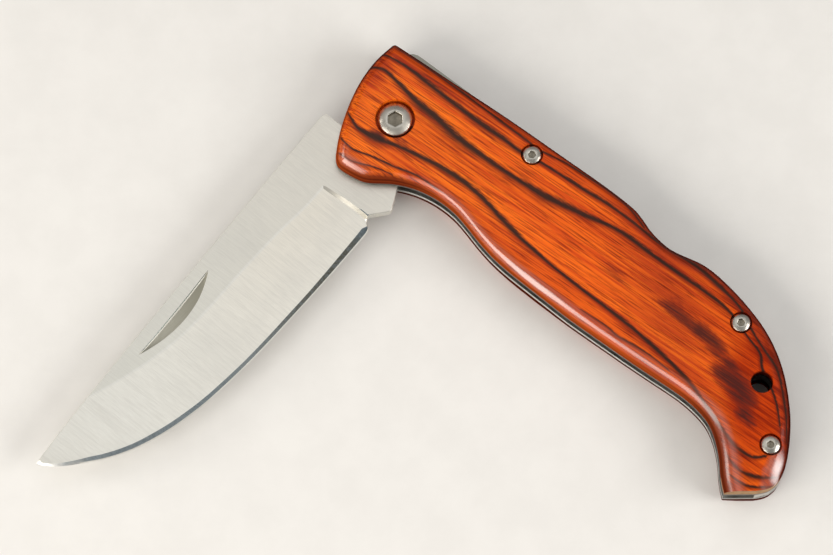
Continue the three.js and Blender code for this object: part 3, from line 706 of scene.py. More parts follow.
    # the layers lie flat, so they stripe the side; the side colours are painted shade, dark red-brown on the belly wall
    # and near black on the spine side and on the back scale
    z = n.noise(n.coords(turn, (8, 8, 1500), (seed, 0, 2)), 1.0, 2.0, 0.6)
    dark = n.mix(n.ramp(z, 0.40, 0.62), (0.030, 0.004, 0.003), (0.085, 0.010, 0.004))
    painted_wall_shade = n.attribute("painted_wall_shade")
    warm = n.mix(n.ramp(z, 0.40, 0.62), (0.20, 0.031, 0.006), (0.38, 0.066, 0.011))
    # painted shade: the darkest wall colour, used near the butt and the nose
    deep_wall_shade = n.mix(n.ramp(z, 0.40, 0.62), (0.075, 0.011, 0.004), (0.16, 0.025, 0.007))
    wall = n.mix(n.ramp(spine, 0.25, 0.75), n.mix(painted_wall_shade, warm, deep_wall_shade), dark)
    # painted shade mask: the wall darkens further down the side, more on the spine side and where painted wall shade is
    # set
    down = n.math("MULTIPLY_ADD", painted_wall_shade, 0.20, n.math("MULTIPLY_ADD", spine, 0.12, side))
    base = n.mix(n.ramp(down, 0.20, 0.60, 0.0, 0.97), base, dark if back else wall)
    n.link(base, n.bsdf.inputs["Base Color"])
    n.link(n.ramp(fine, 0.3, 0.7, 0.32, 0.46), n.bsdf.inputs["Roughness"])
    n.set(IOR=1.45, Specular_IOR_Level=0.0, Coat_Roughness=0.21, Coat_IOR=2.2)
    polish = n.math("MULTIPLY", n.attribute("polish"), n.ramp(side, 0.20, 0.42, 1.0, 0.0))
    n.link(polish, n.bsdf.inputs["Coat Weight"])
    h = n.math("MULTIPLY_ADD", fine, 0.6, n.math("MULTIPLY", pore, -0.7))
    n.link(n.bump(h, 0.22, 0.05), n.bsdf.inputs["Normal"])
    n.link(n.bump(n.math("ADD", h, streak), 0.06, 0.05), n.bsdf.inputs["Coat Normal"])
    return n.mat


def end_material(name):
    """Raw cut end of the laminated wood."""
    n = Nodes(name)
    z = n.noise(n.coords(0, (60, 60, 2400), (2, 1, 5)), 1.0, 3.0, 0.6)
    g = n.noise(n.coords(0, (900, 900, 900), (4, 1, 5)), 1.0, 3.0, 0.6)
    base = n.mix(n.ramp(z, 0.36, 0.64), (0.20, 0.100, 0.040), (0.46, 0.27, 0.125))
    base = n.mix(n.ramp(g, 0.5, 0.75, 0.0, 0.5), base, (0.12, 0.050, 0.020))
    n.link(base, n.bsdf.inputs["Base Color"])
    n.link(n.ramp(g, 0.3, 0.7, 0.5, 0.65), n.bsdf.inputs["Roughness"])
    n.set(Specular_IOR_Level=0.15)
    n.link(n.bump(g, 0.2, 0.05), n.bsdf.inputs["Normal"])
    return n.mat


def steel_material(name, color, rough, angle, line=(26000, 500, 500), depth=0.10, vary=0.06, cloud=0.05,
                   tint=None, fleck=0.0, painted_hole_shade=False, painted_dark_reflection=None):
    """Satin steel: fine grinding lines run across angle."""
    n = Nodes(name)
    lines = n.noise(n.coords(angle, line), 1.0, 3.0, 0.6)
    coarse = n.noise(n.coords(angle, (line[0] * 0.18, line[1] * 0.35, line[2] * 0.35), (3, 7, 1)), 1.0, 2.0, 0.5)
    clouds = n.noise(n.coords(angle, (60, 60, 60), (1, 4, 2)), 1.0, 3.0, 0.5)
    dark = tuple(c * (1 - 2.4 * vary) for c in color)
    light = tuple(min(c * (1 + 1.2 * vary), 1.0) for c in color)
    base = n.mix(n.ramp(lines, 0.3, 0.7), dark, light)
    base = n.mix(n.ramp(coarse, 0.35, 0.65, 0.0, 0.5), base, color)
    base = n.mix(n.ramp(clouds, 0.35, 0.7, 0.0, cloud * 4), base, tint or tuple(c * 0.86 for c in color))
    if fleck:
        spots = n.noise(n.coords(0, (2600, 2600, 2600), (5, 2, 8)), 1.0, 2.0, 0.6)
        base = n.mix(n.ramp(spots, 0.64, 0.74, 0.0, fleck), base, tuple(c * 0.35 for c in color))
    where = None
    if painted_hole_shade or painted_dark_reflection:
        where = n.new("ShaderNodeSeparateXYZ")
        n.link(n.new("ShaderNodeTexCoord").outputs["Object"], where.inputs[0])
    if painted_dark_reflection:
        # painted dark reflection: metres up from the table between which the steel darkens
        base = n.mix(n.ramp(where.outputs[2], painted_dark_reflection[0], painted_dark_reflection[1], 0.0, 0.9), base, tuple(c * 0.22 for c in color))
    if painted_hole_shade:
        # painted shade inside the lanyard hole
        x = n.math("SUBTRACT", where.outputs[0], (LANYARD[0] - CENTRE[0]) / 1000)
        y = n.math("SUBTRACT", where.outputs[1], (LANYARD[1] - CENTRE[1]) / 1000)
        r = n.math("SQRT", n.math("MULTIPLY_ADD", x, x, n.math("MULTIPLY", y, y)))
        base = n.mix(n.ramp(r, 0.0026, 0.0029, 0.97, 0.0), base, (0.010, 0.008, 0.007))
    n.link(base, n.bsdf.inputs["Base Color"])
    r = n.math("ADD", n.ramp(lines, 0.25, 0.75, rough - 0.06, rough + 0.06), n.ramp(clouds, 0.3, 0.7, -0.02, 0.04))
    n.link(r, n.bsdf.inputs["Roughness"])
    n.set(Metallic=1.0)
    h = n.math("MULTIPLY_ADD", lines, 0.7, n.math("MULTIPLY", coarse, 0.3))
    n.link(n.bump(h, depth, 0.02), n.bsdf.inputs["Normal"])
    return n.mat


WOOD_FRONT = wood_material("laminated_wood_front", 0.0, False)
WOOD_BACK = wood_material("laminated_wood_back", 17.0, True)
WOOD_END = end_material("laminated_wood_end")
def blade_face_material(name):
    """Satin blade face: flat by the spine, ground towards the edge."""
    n = Nodes(name)
    lines = n.noise(n.coords(BLADE_ANGLE, (15000, 420, 420)), 1.0, 3.0, 0.6)
    bands = n.noise(n.coords(BLADE_ANGLE, (1900, 110, 110), (3, 7, 1)), 1.0, 3.0, 0.6)
    clouds = n.noise(n.coords(BLADE_ANGLE, (60, 90, 60), (1, 4, 2)), 1.0, 3.0, 0.5)
    reach, across, ground = n.attribute("reach"), n.attribute("across"), n.attribute("ground")
    # painted light and shade: the face is darker by the handle and lighter towards the tip, and the grind lightens
    # towards the edge
    flat = n.mix(n.ramp(reach, 0.10, 0.75), (0.80, 0.765, 0.685), (0.80, 0.79, 0.715))
    grind = n.mix(n.ramp(reach, 0.15, 0.85), (0.90, 0.85, 0.745), (0.95, 0.935, 0.86))
    grind = n.mix(n.ramp(across, 0.45, 0.98, 0.0, 0.5), grind, (0.96, 0.93, 0.85))
    base = n.mix(n.ramp(ground, -0.25, 0.55), flat, grind)
    # painted highlight: a light line along the crest where the flat meets the grind
    painted_crest_glint = n.math("MULTIPLY", n.ramp(ground, -0.45, 0.0), n.ramp(ground, 0.0, 0.55, 1.0, 0.0))
    base = n.mix(n.math("MULTIPLY", painted_crest_glint, 0.45), base, (0.93, 0.92, 0.87))
    base = n.mix(n.ramp(lines, 0.36, 0.66, 0.0, 0.20), base, (0.54, 0.52, 0.47))
    base = n.mix(n.ramp(bands, 0.40, 0.66, 0.0, 0.18), base, (0.60, 0.58, 0.53))
    base = n.mix(n.ramp(clouds, 0.38, 0.7, 0.0, 0.16), base, (0.60, 0.60, 0.58))
    n.link(base, n.bsdf.inputs["Base Color"])
    r = n.math("ADD", n.ramp(lines, 0.25, 0.75, 0.31, 0.41), n.ramp(clouds, 0.3, 0.7, -0.02, 0.04))
    n.link(r, n.bsdf.inputs["Roughness"])
    n.set(Metallic=1.0)
    h = n.math("MULTIPLY_ADD", lines, 0.7, n.math("MULTIPLY", bands, 0.3))
    n.link(n.bump(h, 0.10, 0.02), n.bsdf.inputs["Normal"])
    return n.mat


def bevel_material(name):
    """The honed bevel, painted dark for a dark reflection: dark by the heel, lighter towards the tip."""
    n = Nodes(name)
    lines = n.noise(n.coords(BLADE_ANGLE, (9000, 900, 900)), 1.0, 3.0, 0.6)
    clouds = n.noise(n.coords(BLADE_ANGLE, (160, 160, 160), (1, 4, 2)), 1.0, 3.0, 0.5)
    reach = n.math("MULTIPLY_ADD", clouds, 0.10, n.attribute("reach"))
    base = n.mix(n.ramp(reach, 0.22, 0.32), (0.17, 0.22, 0.25), (0.13, 0.125, 0.10))
    base = n.mix(n.ramp(reach, 0.36, 0.90), base, (0.46, 0.53, 0.57))
    spots = n.noise(n.coords(BLADE_ANGLE, (1500, 1500, 1500), (4, 4, 2)), 1.0, 3.0, 0.6)
    base = n.mix(n.ramp(spots, 0.42, 0.66, 0.0, 0.45), base, (0.26, 0.31, 0.34))
    base = n.mix(n.ramp(reach, 0.985, 1.03), base, (0.80, 0.80, 0.78))
    base = n.mix(n.ramp(lines, 0.35, 0.7, 0.0, 0.4), base, (0.07, 0.075, 0.075))
    n.link(base, n.bsdf.inputs["Base Color"])
    n.link(n.ramp(lines, 0.25, 0.75, 0.26, 0.38), n.bsdf.inputs["Roughness"])
    n.set(Metallic=1.0)
    n.link(n.bump(lines, 0.12, 0.02), n.bsdf.inputs["Normal"])
    return n.mat


def nick_material(name):
    n = Nodes(name)
    lines = n.noise(n.coords(BLADE_ANGLE, (500, 12000, 900)), 1.0, 3.0, 0.6)
    t = n.attribute("nick")
    # painted shade in the nick: darker than the blade face, darkest at the end nearer the heel
    base = n.mix(n.ramp(t, 0.15, 0.95), (0.36, 0.345, 0.28), (0.62, 0.60, 0.51))
    base = n.mix(n.ramp(lines, 0.35, 0.65, 0.0, 0.5), base, (0.36, 0.345, 0.27))
    n.link(base, n.bsdf.inputs["Base Color"])
    n.link(n.ramp(lines, 0.3, 0.7, 0.34, 0.46), n.bsdf.inputs["Roughness"])
    n.set(Metallic=1.0)
    n.link(n.bump(lines, 0.14, 0.02), n.bsdf.inputs["Normal"])
    return n.mat


BLADE_FACE = blade_face_material("blade_satin")
BLADE_PLUNGE = steel_material("blade_plunge", (0.46, 0.445, 0.40), 0.52, BLADE_ANGLE, (9000, 900, 900), 0.06, 0.04, 0.03)
BLADE_BEVEL = bevel_material("blade_edge_bevel")
BLADE_NICK = nick_material("blade_nick")
BLADE_SIDE = steel_material("blade_back_edge", (0.86, 0.845, 0.78), 0.36, BLADE_ANGLE, (9000, 900, 900), 0.10, 0.06, 0.05)
# painted dark reflection: the front liner's steel darkens from 8.0 to 8.6 mm up
LINER_STEEL = steel_material("liner_steel", (0.46, 0.45, 0.42), 0.34, SPINE_ANGLE, (600, 600, 30000), 0.12, 0.08, 0.06,
                           painted_hole_shade=True, painted_dark_reflection=(0.0080, 0.0086))
BAR_STEEL = steel_material("bar_steel", (0.36, 0.35, 0.30), 0.42, SPINE_ANGLE, (26000, 900, 900), 0.16, 0.09, 0.06)
SPRING_STEEL = steel_material("spring_steel", (0.34, 0.34, 0.34), 0.36, SPINE_ANGLE, (900, 9000, 9000), 0.10, 0.08, 0.06)
SPACER_STEEL = steel_material("spacer_steel", (0.60, 0.585, 0.55), 0.36, SPINE_ANGLE, (700, 700, 26000), 0.12, 0.08, 0.05, painted_hole_shade=True)
SCREW_STEEL = steel_material("screw_steel", (0.61, 0.58, 0.515), 0.27, 20.0, (260, 260, 260), 0.008, 0.05, 0.05)
# painted shade: the screw sockets get a darker steel
SOCKET_STEEL = steel_material("screw_socket", (0.30, 0.27, 0.215), 0.40, 20.0, (2600, 2600, 900), 0.12, 0.12, 0.08)
BARREL_STEEL = steel_material("barrel_steel", (0.60, 0.59, 0.56), 0.30, 0.0, (900, 900, 24000), 0.10, 0.06, 0.05)
BRONZE = steel_material("washer_bronze", (0.62, 0.42, 0.19), 0.34, 0.0, (7000, 7000, 900), 0.08, 0.08, 0.08)


# ------------------------------------------------------------------ scales
def scale_mesh(name, front):
    b = Build()
    z = (lambda h: Z_FS + h) if front else (lambda h: SCALE_T - h)
    flip = not front

    def height(e, edge):
        reach, depth, power = edge[:, 0], edge[:, 1], edge[:, 2]
        x = np.clip(1 - e / reach, 0, 1)
        swell = 1 - np.clip(1 - e / (ROUND_IN + 11.0), 0, 1)**2
        return (SCALE_T - depth) + (depth - CROWN) * (1 - x**power)**(1 / power) + CROWN * swell

    rows = RIM_FLAT if front else RIM_ROUND
    base, _ = rim_loop(rows, 0.0)
    # the line that the rounding follows: it runs on past a flat cut
    if front:
        i0 = int(np.argmin(np.linalg.norm(base - BUTT, axis=1)))
        i1 = max(i for i in range(i0) if base[i, 1] >= -77.9)
        guide = np.vstack([[(70.9, -87.0)], base[i0:], base[:i1 + 1], LONG_SPINE])
    else:
        guide = np.vstack([base, base[:1]])

    table = edge_table(guide)

    def deep(xy):
        return follow(guide, table, xy)

    prev = np.c_[base, np.full(len(base), z(0.0))]
    for d in [ROUND_IN * (1 - math.cos(x)) for x in np.radians([0, 9, 18, 27, 36])]:
        p, e = rim_loop(rows, d)
        r = np.c_[p, z(height(e, deep(p)[1]))]
        y = 0.25 * (prev[:, 1] + np.roll(prev[:, 1], -1) + r[:, 1] + np.roll(r[:, 1], -1))
        drawn = np.linalg.norm((prev - r)[:, :2], axis=1)
        drawn = np.maximum(drawn, np.roll(drawn, -1))
        cut = (y < -81.5) | ((y < -78.2) & (drawn < 0.012))
        b.band(prev, r, np.where(cut & front, 1, 0), flip=flip)
        prev, last = r, d
    edge = dedupe(prev[:, :2])
    # holes
    holes = [(PIVOT, 4.3, 2.2, 2.55, 72)] + [(c, 2.4, 1.6, 1.55, 48) for c in (LOCK_PIN, UPPER_REAR, LOWER_REAR)]
    lip = 0.16
    loops, blocked = [], []
    for c, r, depth, bore, n in holes:
        loops.append(circle(c, r + lip, n))
        blocked.append((c, r + lip))
    loops.append(circle(LANYARD, LANYARD_R + lip, 48))
    blocked.append((LANYARD, LANYARD_R + lip))
    # points on the rounding, ring by ring, then an even grid on the flat
    extra = []
    for d in (0.64, 0.80, 0.98, 1.18, 1.40, 1.64, 1.90, 2.18, 2.50, 2.90, 3.35, 3.80):
        p, _ = rim_loop(rows, d)
        p = dedupe(p, 0.12)
        p = p[inside(edge, p)]
        p = p[(np.abs(deep(p)[0] - d) < 0.03) & (distance(edge, p, True) > 0.07)]
        extra.append(p)
    extra = np.vstack(extra)
    grid = hexgrid(edge, 1.1, 0.5)
    grid = grid[deep(grid)[0] > 4.2]
    pts = np.vstack([extra, grid])
    for c, r in blocked:
        pts = pts[np.linalg.norm(pts - np.array(c), axis=1) > r + 0.16]
    v, f = triangulate([edge] + loops, (), pts)
    h = height(*deep(v))
    near = np.linalg.norm(v[:, None, :] - prev[None, :, :2], axis=2)
    k = near.argmin(axis=1)
    zz = np.where(near[np.arange(len(v)), k] < 1e-4, prev[k, 2], z(h))
    b.add(np.c_[v, zz], f, flip=flip)

    inner_loops = []
    for c, r, depth, bore, n in holes:
        wide = circle(c, r + lip, n)
        mid = circle(c, r + lip * 0.3, n)
        wall = circle(c, r, n)
        hw = height(*deep(wide))
        b.band(np.c_[mid, z(hw - lip * 0.3)], np.c_[wide, z(hw)], flip=not flip)
        b.band(np.c_[wall, z(hw - lip)], np.c_[mid, z(hw - lip * 0.3)], flip=not flip)
        floor = SCALE_T - depth
        b.band(ring3(wall, z(floor)), np.c_[wall, z(hw - lip)], flip=not flip)
        hole = circle(c, bore, n)
        b.band(ring3(hole, z(floor)), ring3(wall, z(floor)), flip=not flip)
        b.band(ring3(hole, z(0.0)), ring3(hole, z(floor)), flip=not flip)
        inner_loops.append(hole)
    wide, mid, wall = (circle(LANYARD, LANYARD_R + k, 48) for k in (lip, lip * 0.3, 0.0))
    hw = height(*deep(wide))
    b.band(np.c_[mid, z(hw - lip * 0.3)], np.c_[wide, z(hw)], flip=not flip)
    b.band(np.c_[wall, z(hw - lip)], np.c_[mid, z(hw - lip * 0.3)], flip=not flip)
    b.band(ring3(wall, z(0.0)), np.c_[wall, z(hw - lip)], flip=not flip)
    inner_loops.append(wall)
    v, f = triangulate([dedupe(base)] + inner_loops)
    b.add(np.c_[v, np.full(len(v), z(0.0))], f, flip=not flip)
    o = b.object(name, [WOOD_FRONT if front else WOOD_BACK, WOOD_END], 32.0, 0.0015)
    wood_attributes(o, Z_TOP if front else 0.0, 1 if front else -1, guide)
    return o


# ------------------------------------------------------------------ blade
def tang_outline():
    pts = [(8.3, 7.6), (7.2, 6.35 + 0.068 * 7.2)]
    r = 8.75
    start = math.pi - math.asin(5.9 / r)
    end = 2 * math.pi - math.acos(3.2 / r)
    for i in range(61):
        t = start + (end - start) * i / 60
        pts.append((r * math.cos(t), r * math.sin(t)))
    return pts + [(3.3, -6.35), (7.35, -6.35), (7.35, -13.3)]


def densify(line, step):
    out = [np.array(line[0], float)]
    for p, q in zip(line[:-1], line[1:]):
        p, q = np.array(p, float), np.array(q, float)
        n = max(int(np.ceil(np.linalg.norm(q - p) / step)), 1)
        out += [p + (q - p) * (i + 1) / n for i in range(n)]
    return np.array(out)


edge_run = catmull(BLADE_EDGE, 190)
spine_edge = catmull(BLADE_SPINE, 96)
grind_run = catmull(GRIND_LINE, 90)
BEVEL_T, EDGE_T = 0.26, 0.02
EDGE_GLINT = 0.21          # painted highlight: width of a bright strip along the very edge


def bevel_w(a):
    return np.interp(a, [22, 26, 40, 60, 85, 98, 105.6], [1.38, 1.30, 1.02, 0.92, 1.15, 1.05, 0.42])


def grind_b(a):
    return np.interp(a, grind_run[:, 0], grind_run[:, 1], left=grind_run[0, 1], right=-15.0)


def edge_b(a):
    o = edge_run[::-1]
    return np.interp(a, o[:, 0], o[:, 1])


# where the grind ends against the flat of the ricasso
PLUNGE = np.array([(20.3, -3.75), (20.12, -3.2), (19.8, 0.0), (19.64, 2.0), (19.55, 5.85), (19.62, 8.2)])
PLUNGE_W = np.array([(-3.75, 0.62), (-2.0, 0.78), (1.0, 0.84), (8.2, 0.74)])


def plunge_a(b):
    return np.interp(b, PLUNGE[:, 1], PLUNGE[:, 0])


def plunge_w(b):
    return np.interp(b, PLUNGE_W[:, 0], PLUNGE_W[:, 1])


def blade_half(ab):
    """Half thickness of the blade at (a, b)."""
    a, b = ab[:, 0], ab[:, 1]
    bg, be = grind_b(a), edge_b(a)
    top = np.where(a > 88, 1.5 - 0.95 * (a - 88) / 18, 1.5)
    u = np.clip((b - bg) / np.maximum(be - bg, 0.5), 0, 1)
    ground = np.minimum(top + (BEVEL_T + 0.02 - top) * (u * 1.08 - 0.08 * u**2), top)
    s = np.clip((a - plunge_a(b)) / plunge_w(b), 0, 1)
    z = np.where(u > 0, 1.5 + (ground - 1.5) * (0.75 * s + 0.25 * s * s * (3 - 2 * s)), top)
    z = np.where((a < 88) & (b < bg), 1.5, z)
    z = np.where(a < plunge_a(b) - 1e-6, 1.5, z)
    d = distance(edge_run, ab)
    w = bevel_w(a)
    near = (d < w) & (a > 21.6)
    bev = EDGE_T + (np.minimum(z, BEVEL_T + 0.1) - EDGE_T) * np.clip(d / w, 0, 1)
    return np.where(near, np.minimum(z, bev), z)


# nail nick: straight wall on the spine side, sloping floor towards the edge
NICK_TOP = catmull([(50.3, -11.48), (54.0, -11.38), (58.0, -11.32), (62.0, -11.3), (66.0, -11.3), (70.0, -11.33), (74.1, -11.4)], 46)
NICK_LOW = catmull([(50.3, -11.48), (51.0, -11.0), (52.4, -10.35), (54.1, -9.7), (56.5, -9.0), (59.0, -8.62), (61.5, -8.5), (64.0, -8.62), (66.5, -8.98), (69.0, -9.55), (71.5, -10.35), (73.2, -11.0), (74.1, -11.4)], 60)
NICK_DEPTH = 0.46


def nick_depth(a):
    return NICK_DEPTH * np.sqrt(np.clip(1 - ((a - 62.2) / 11.95)**2, 0, 1))


def nick_valley(a):
    top = np.interp(a, NICK_TOP[:, 0], NICK_TOP[:, 1])
    return top + 0.10 + 0.34 * nick_depth(a) / NICK_DEPTH


def blade_mesh():
    b = Build()
    tang = densify(tang_outline(), 0.6)
    heel = catmull([BLADE_EDGE[-1]] + BLADE_HEEL, 30)[1:]
    outline = np.vstack([spine_edge, edge_run[1:], heel, tang[:-1], densify([(7.35, -13.3), (8.75, -13.75)], 0.5)[:-1]])
    outline = dedupe(outline, 0.02)
    outline = ccw(outline)
    # which outline vertices belong to the sharp edge
    on_edge = distance(edge_run, outline) < 1e-3
    on_edge &= outline[:, 0] > 22.3
    chamfer = np.where(on_edge, 0.0, 0.11)
    inner = outline + (offset_loop(outline, 1.0) - outline) * chamfer[:, None]
    hole_n = 72
    hole, hole_wide = circle(PIVOT, 2.56, hole_n), circle(PIVOT, 2.64, hole_n)
    t = np.gradient(edge_run, axis=0)
    nrm = unit(np.stack([t[:, 1], -t[:, 0]], -1))
    if not inside(outline, [edge_run[60] + nrm[60] * 0.3])[0]:
        nrm = -nrm

    def along_edge(w):
        """A line at distance w inside the edge, ended on outline vertices."""
        line = edge_run + nrm * np.reshape(w, (-1, 1))
        ok = inside(inner, line) & (distance(edge_run, line) > np.min(w) * 0.9) & (distance(inner, line, True) > 0.02)
        line = line[ok & (line[:, 0] > 22.2)]
        tip = inner[(inner[:, 0] > 100) & ~on_edge]
        heel_side = inner[(inner[:, 0] > 20.5) & (inner[:, 0] < 22.6) & (inner[:, 1] > 8.0)]
        p = tip[np.argmin(np.linalg.norm(tip - line[0], axis=1))]
        q = heel_side[np.argmin(np.linalg.norm(heel_side - line[-1], axis=1))]
        return np.vstack([[p], line, [q]])

    bevel_line = along_edge(bevel_w(edge_run[:, 0]))
    glint_line = (edge_run + nrm * EDGE_GLINT)[(edge_run[:, 0] > 22.6) & (edge_run[:, 0] < 104.0)]
    g_in = grind_run[(grind_run[:, 1] > -13.85)]
    plunge0 = catmull(PLUNGE, 26)
    plunge0 = plunge0[(plunge0[:, 1] < 7.95)]
    plunge1 = plunge0 + np.c_[plunge_w(plunge0[:, 1]), np.zeros(len(plunge0))]
    # painted shadow line along the plunge by the choil
    undercut_shadow_line = plunge0[(plunge0[:, 1] > 5.6)] - [0.20, 0]
    lines = [bevel_line, glint_line, g_in, plunge0, plunge1, undercut_shadow_line]

    def cap(sign, nick):
        ls = list(lines)
        if nick:
            av = np.linspace(51.0, 73.4, 44)
            valley = np.stack([av, nick_valley(av)], -1)
            ls += [NICK_TOP, NICK_LOW[1:-1], valley]
        pts = hexgrid(inner, 1.05, 0.55, [(PIVOT, 3.2)], ls, 0.42)
        pts = pts[distance(edge_run, pts) > bevel_w(pts[:, 0]) + 0.35]
        if nick:
            extra = []
            for k in (0.35, 0.7):
                for a in np.linspace(52.5, 72.0, 34):
                    lo = np.interp(a, NICK_LOW[:, 0], NICK_LOW[:, 1])
                    extra.append((a, nick_valley(a) + (lo - nick_valley(a)) * k))
            half = np.stack([av, np.interp(av, NICK_TOP[:, 0], NICK_TOP[:, 1])], -1)
            ls.append(half * 0.6 + valley * 0.4)
            region = np.vstack([NICK_TOP, NICK_LOW[::-1]])
            pts = np.vstack([pts[~inside(region, pts)], extra])
        v, f = triangulate([inner, hole_wide], ls, pts)
        h = blade_half(v)
        chm = distance(inner, v, True) < 1e-4
        if nick:
            a, bb = v[:, 0], v[:, 1]
            top = np.interp(a, NICK_TOP[:, 0], NICK_TOP[:, 1])
            low = np.interp(a, NICK_LOW[:, 0], NICK_LOW[:, 1])
            val, dep = nick_valley(a), nick_depth(a)
            wall = np.clip((bb - top) / np.maximum(val - top, 1e-3), 0, 1)
            floor = np.clip((low - bb) / np.maximum(low - val, 1e-3), 0, 1)
            cut = dep * np.minimum(np.where(wall < 0.4, wall * 1.5, 0.6 + (wall - 0.4) * 0.667), floor**0.85)
            within = (a > 50.3) & (a < 74.1) & (bb > top - 1e-4) & (bb < low + 1e-4)
            h = np.where(within, h - cut, h)
        c = v[f].mean(axis=1)
        mat = np.zeros(len(f), int)
        pa, pw = plunge_a(c[:, 1]), plunge_w(c[:, 1])
        mat[(c[:, 1] > grind_b(c[:, 0])) & (c[:, 0] > pa) & (c[:, 0] < pa + pw) & (c[:, 1] > -3.7)] = 1
        # painted shadow: a thin strip of the dark bevel steel along the plunge by the choil
        mat[(c[:, 0] <= pa) & (c[:, 0] > pa - 0.2) & (c[:, 1] > 5.7)] = 2
        to_edge = distance(edge_run, c)
        mat[(to_edge < bevel_w(c[:, 0])) & (c[:, 0] > 21.2) & (c[:, 1] > -14)] = 2
        # painted highlight: a strip of bright steel along the very edge
        mat[(to_edge < EDGE_GLINT) & (c[:, 0] > 22.4) & (c[:, 0] < 100.0)] = 4
        if nick:
            region = np.vstack([NICK_TOP, NICK_LOW[::-1]])
            ins = inside(region, c)
            mat[ins] = 3
            t0 = np.interp(c[:, 0], NICK_TOP[:, 0], NICK_TOP[:, 1])
            w = (c[:, 1] - t0) / np.maximum(nick_valley(c[:, 0]) - t0, 1e-3)
            # painted shade: the steep upper part of the nick's wall gets the dark bevel steel
            mat[ins & (w < 0.4) & (c[:, 0] > 51.5) & (c[:, 0] < 73.0)] = 2
            mat[ins & (w >= 0.4) & (w < 1.0)] = 1
        b.add(np.c_[blade_xy(v), Z_MID + sign * h], f, mat, flip=sign < 0)
        return v, h

    cap(1, True)
    cap(-1, False)

    def ring(loop, h):
        return np.c_[blade_xy(loop), Z_MID + h]

    hi = blade_half(inner)
    ho = np.maximum(np.minimum(hi - np.where(on_edge, 0.0, 0.11), 1.39), 0.0)
    ho = np.where(on_edge, hi, np.maximum(ho, 0.02))
    b.band(ring(outline, -ho), ring(outline, ho), 4)
    b.band(ring(outline, ho), ring(inner, hi), 4)
    b.band(ring(inner, -hi), ring(outline, -ho), 4)
    hh, hw = np.full(hole_n, 1.42), np.full(hole_n, 1.5)
    b.band(ring(hole, -hh), ring(hole, hh), 4, flip=True)
    b.band(ring(hole, hh), ring(hole_wide, hw), 4, flip=True)
    b.band(ring(hole_wide, -hw), ring(hole, -hh), 4, flip=True)
    o = b.object("blade_detailed", [BLADE_FACE, BLADE_PLUNGE, BLADE_BEVEL, BLADE_NICK, BLADE_SIDE], 24.0, 0.0012)
    co = np.empty(len(o.data.vertices) * 3)
    o.data.vertices.foreach_get("co", co)
    xy = co.reshape(-1, 3)[:, :2] * 1000 + CENTRE
    ab = turned(-BLADE_ANGLE)(xy)
    set_attribute(o, "reach", ab[:, 0] / 106.0)
    set_attribute(o, "across", (ab[:, 1] + 14.2) / 24.2)
    gb = np.where(ab[:, 0] > 20.3, grind_b(ab[:, 0]), 30.0)
    set_attribute(o, "ground", np.clip(ab[:, 1] - gb, -6, 6))
    set_attribute(o, "nick", np.clip((ab[:, 0] - 50.3) / 23.8, 0, 1))
    return o


# ------------------------------------------------------------------ screws
def screw_mesh(name, c, r_head, r_shank, seat, head_h, shank, hex_flats, hex_depth, front, spin=0.0):
    b = Build()
    n = 72
    t = np.linspace(0, 2 * np.pi, n, endpoint=False) + math.radians(90)
    z0 = seat + 0.01

    def ring(r, h):
        return np.stack([c[0] + r * np.cos(t), c[1] + r * np.sin(t), np.full(n, z0 + h) if np.isscalar(h) else z0 + h], -1)

    def hexr(flats):
        a = (t - math.radians(90) - math.radians(spin)) % (math.pi / 3) - math.pi / 6
        return (flats / 2) / np.cos(a)

    rings = [ring(r_shank * 0.78, -shank), ring(r_shank, -shank + 0.25), ring(r_shank, -0.12), ring(r_shank + 0.1, 0.0),
             ring(r_head - 0.10, 0.0), ring(r_head, 0.10)]
    # domed top, from the rim in to the flat round the socket
    ball, flat = 2.15 * r_head, hex_flats * 0.64
    for rr in np.r_[r_head - 0.03, np.linspace(r_head - 0.12, flat, 9)]:
        drop = math.sqrt(ball**2 - flat**2) - math.sqrt(ball**2 - rr**2)
        rings.append(ring(rr, head_h - drop - (0.05 if rr > r_head - 0.1 else 0.0)))
    n_steel = len(rings) + 1
    hr = hexr(hex_flats)
    lip = 0.16 * hex_flats / 3.0
    top = head_h
    rings.append(ring(hr + lip * 1.2, top))
    rings.append(ring(hr + lip * 0.3, top - lip * 0.5))
    rings.append(ring(hr, top - lip * 1.5))
    rings.append(ring(hr, top - hex_depth))
    rings.append(ring(np.full(n, hex_flats * 0.36), top - hex_depth - 0.02))
    rings.append(ring(np.full(n, 0.02), top - hex_depth - hex_flats * 0.16))
    if not front:
        rings = [np.c_[r[:, :2], Z_TOP - r[:, 2]] for r in rings]
    for i, (p, q) in enumerate(zip(rings[:-1], rings[1:])):
        b.band(p, q, 1 if i > n_steel else 0, flip=not front)
    first, last = rings[0], rings[-1]
    for r, sign in ((first, -1), (last, 1)):
        centre = r.mean(axis=0)
        b.add(np.vstack([r, centre]), [(i, (i + 1) % n, n) for i in range(n)], 1 if sign > 0 else 0, flip=(sign < 0) == front)
    return b.object(name, [SCREW_STEEL, SOCKET_STEEL], 38.0, 0.002)


# ------------------------------------------------------------------ build
made = []


def piece(o, body, node):
    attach(o, body)
    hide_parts(node)
    made.append(o)
    return o


piece(scale_mesh("front_scale_wood", True), "handle", "front_scale")
piece(scale_mesh("back_scale_wood", False), "handle", "back_scale")

liner_holes = [(PIVOT, 2.55, 48)] + [(c, 1.55, 32) for c in (LOCK_PIN, UPPER_REAR, LOWER_REAR)] + [(LANYARD, LANYARD_R, 48)]
LINER_OUT = dedupe(OUTLINE, 0.2)
piece(plate_mesh("front_liner_plate", LINER_OUT, liner_holes, Z_FL, Z_FS, [LINER_STEEL], 0.1), "handle", "front_liner")
piece(plate_mesh("back_liner_plate", LINER_OUT, liner_holes, SCALE_T, Z_CH0, [LINER_STEEL], 0.1), "handle", "back_liner")

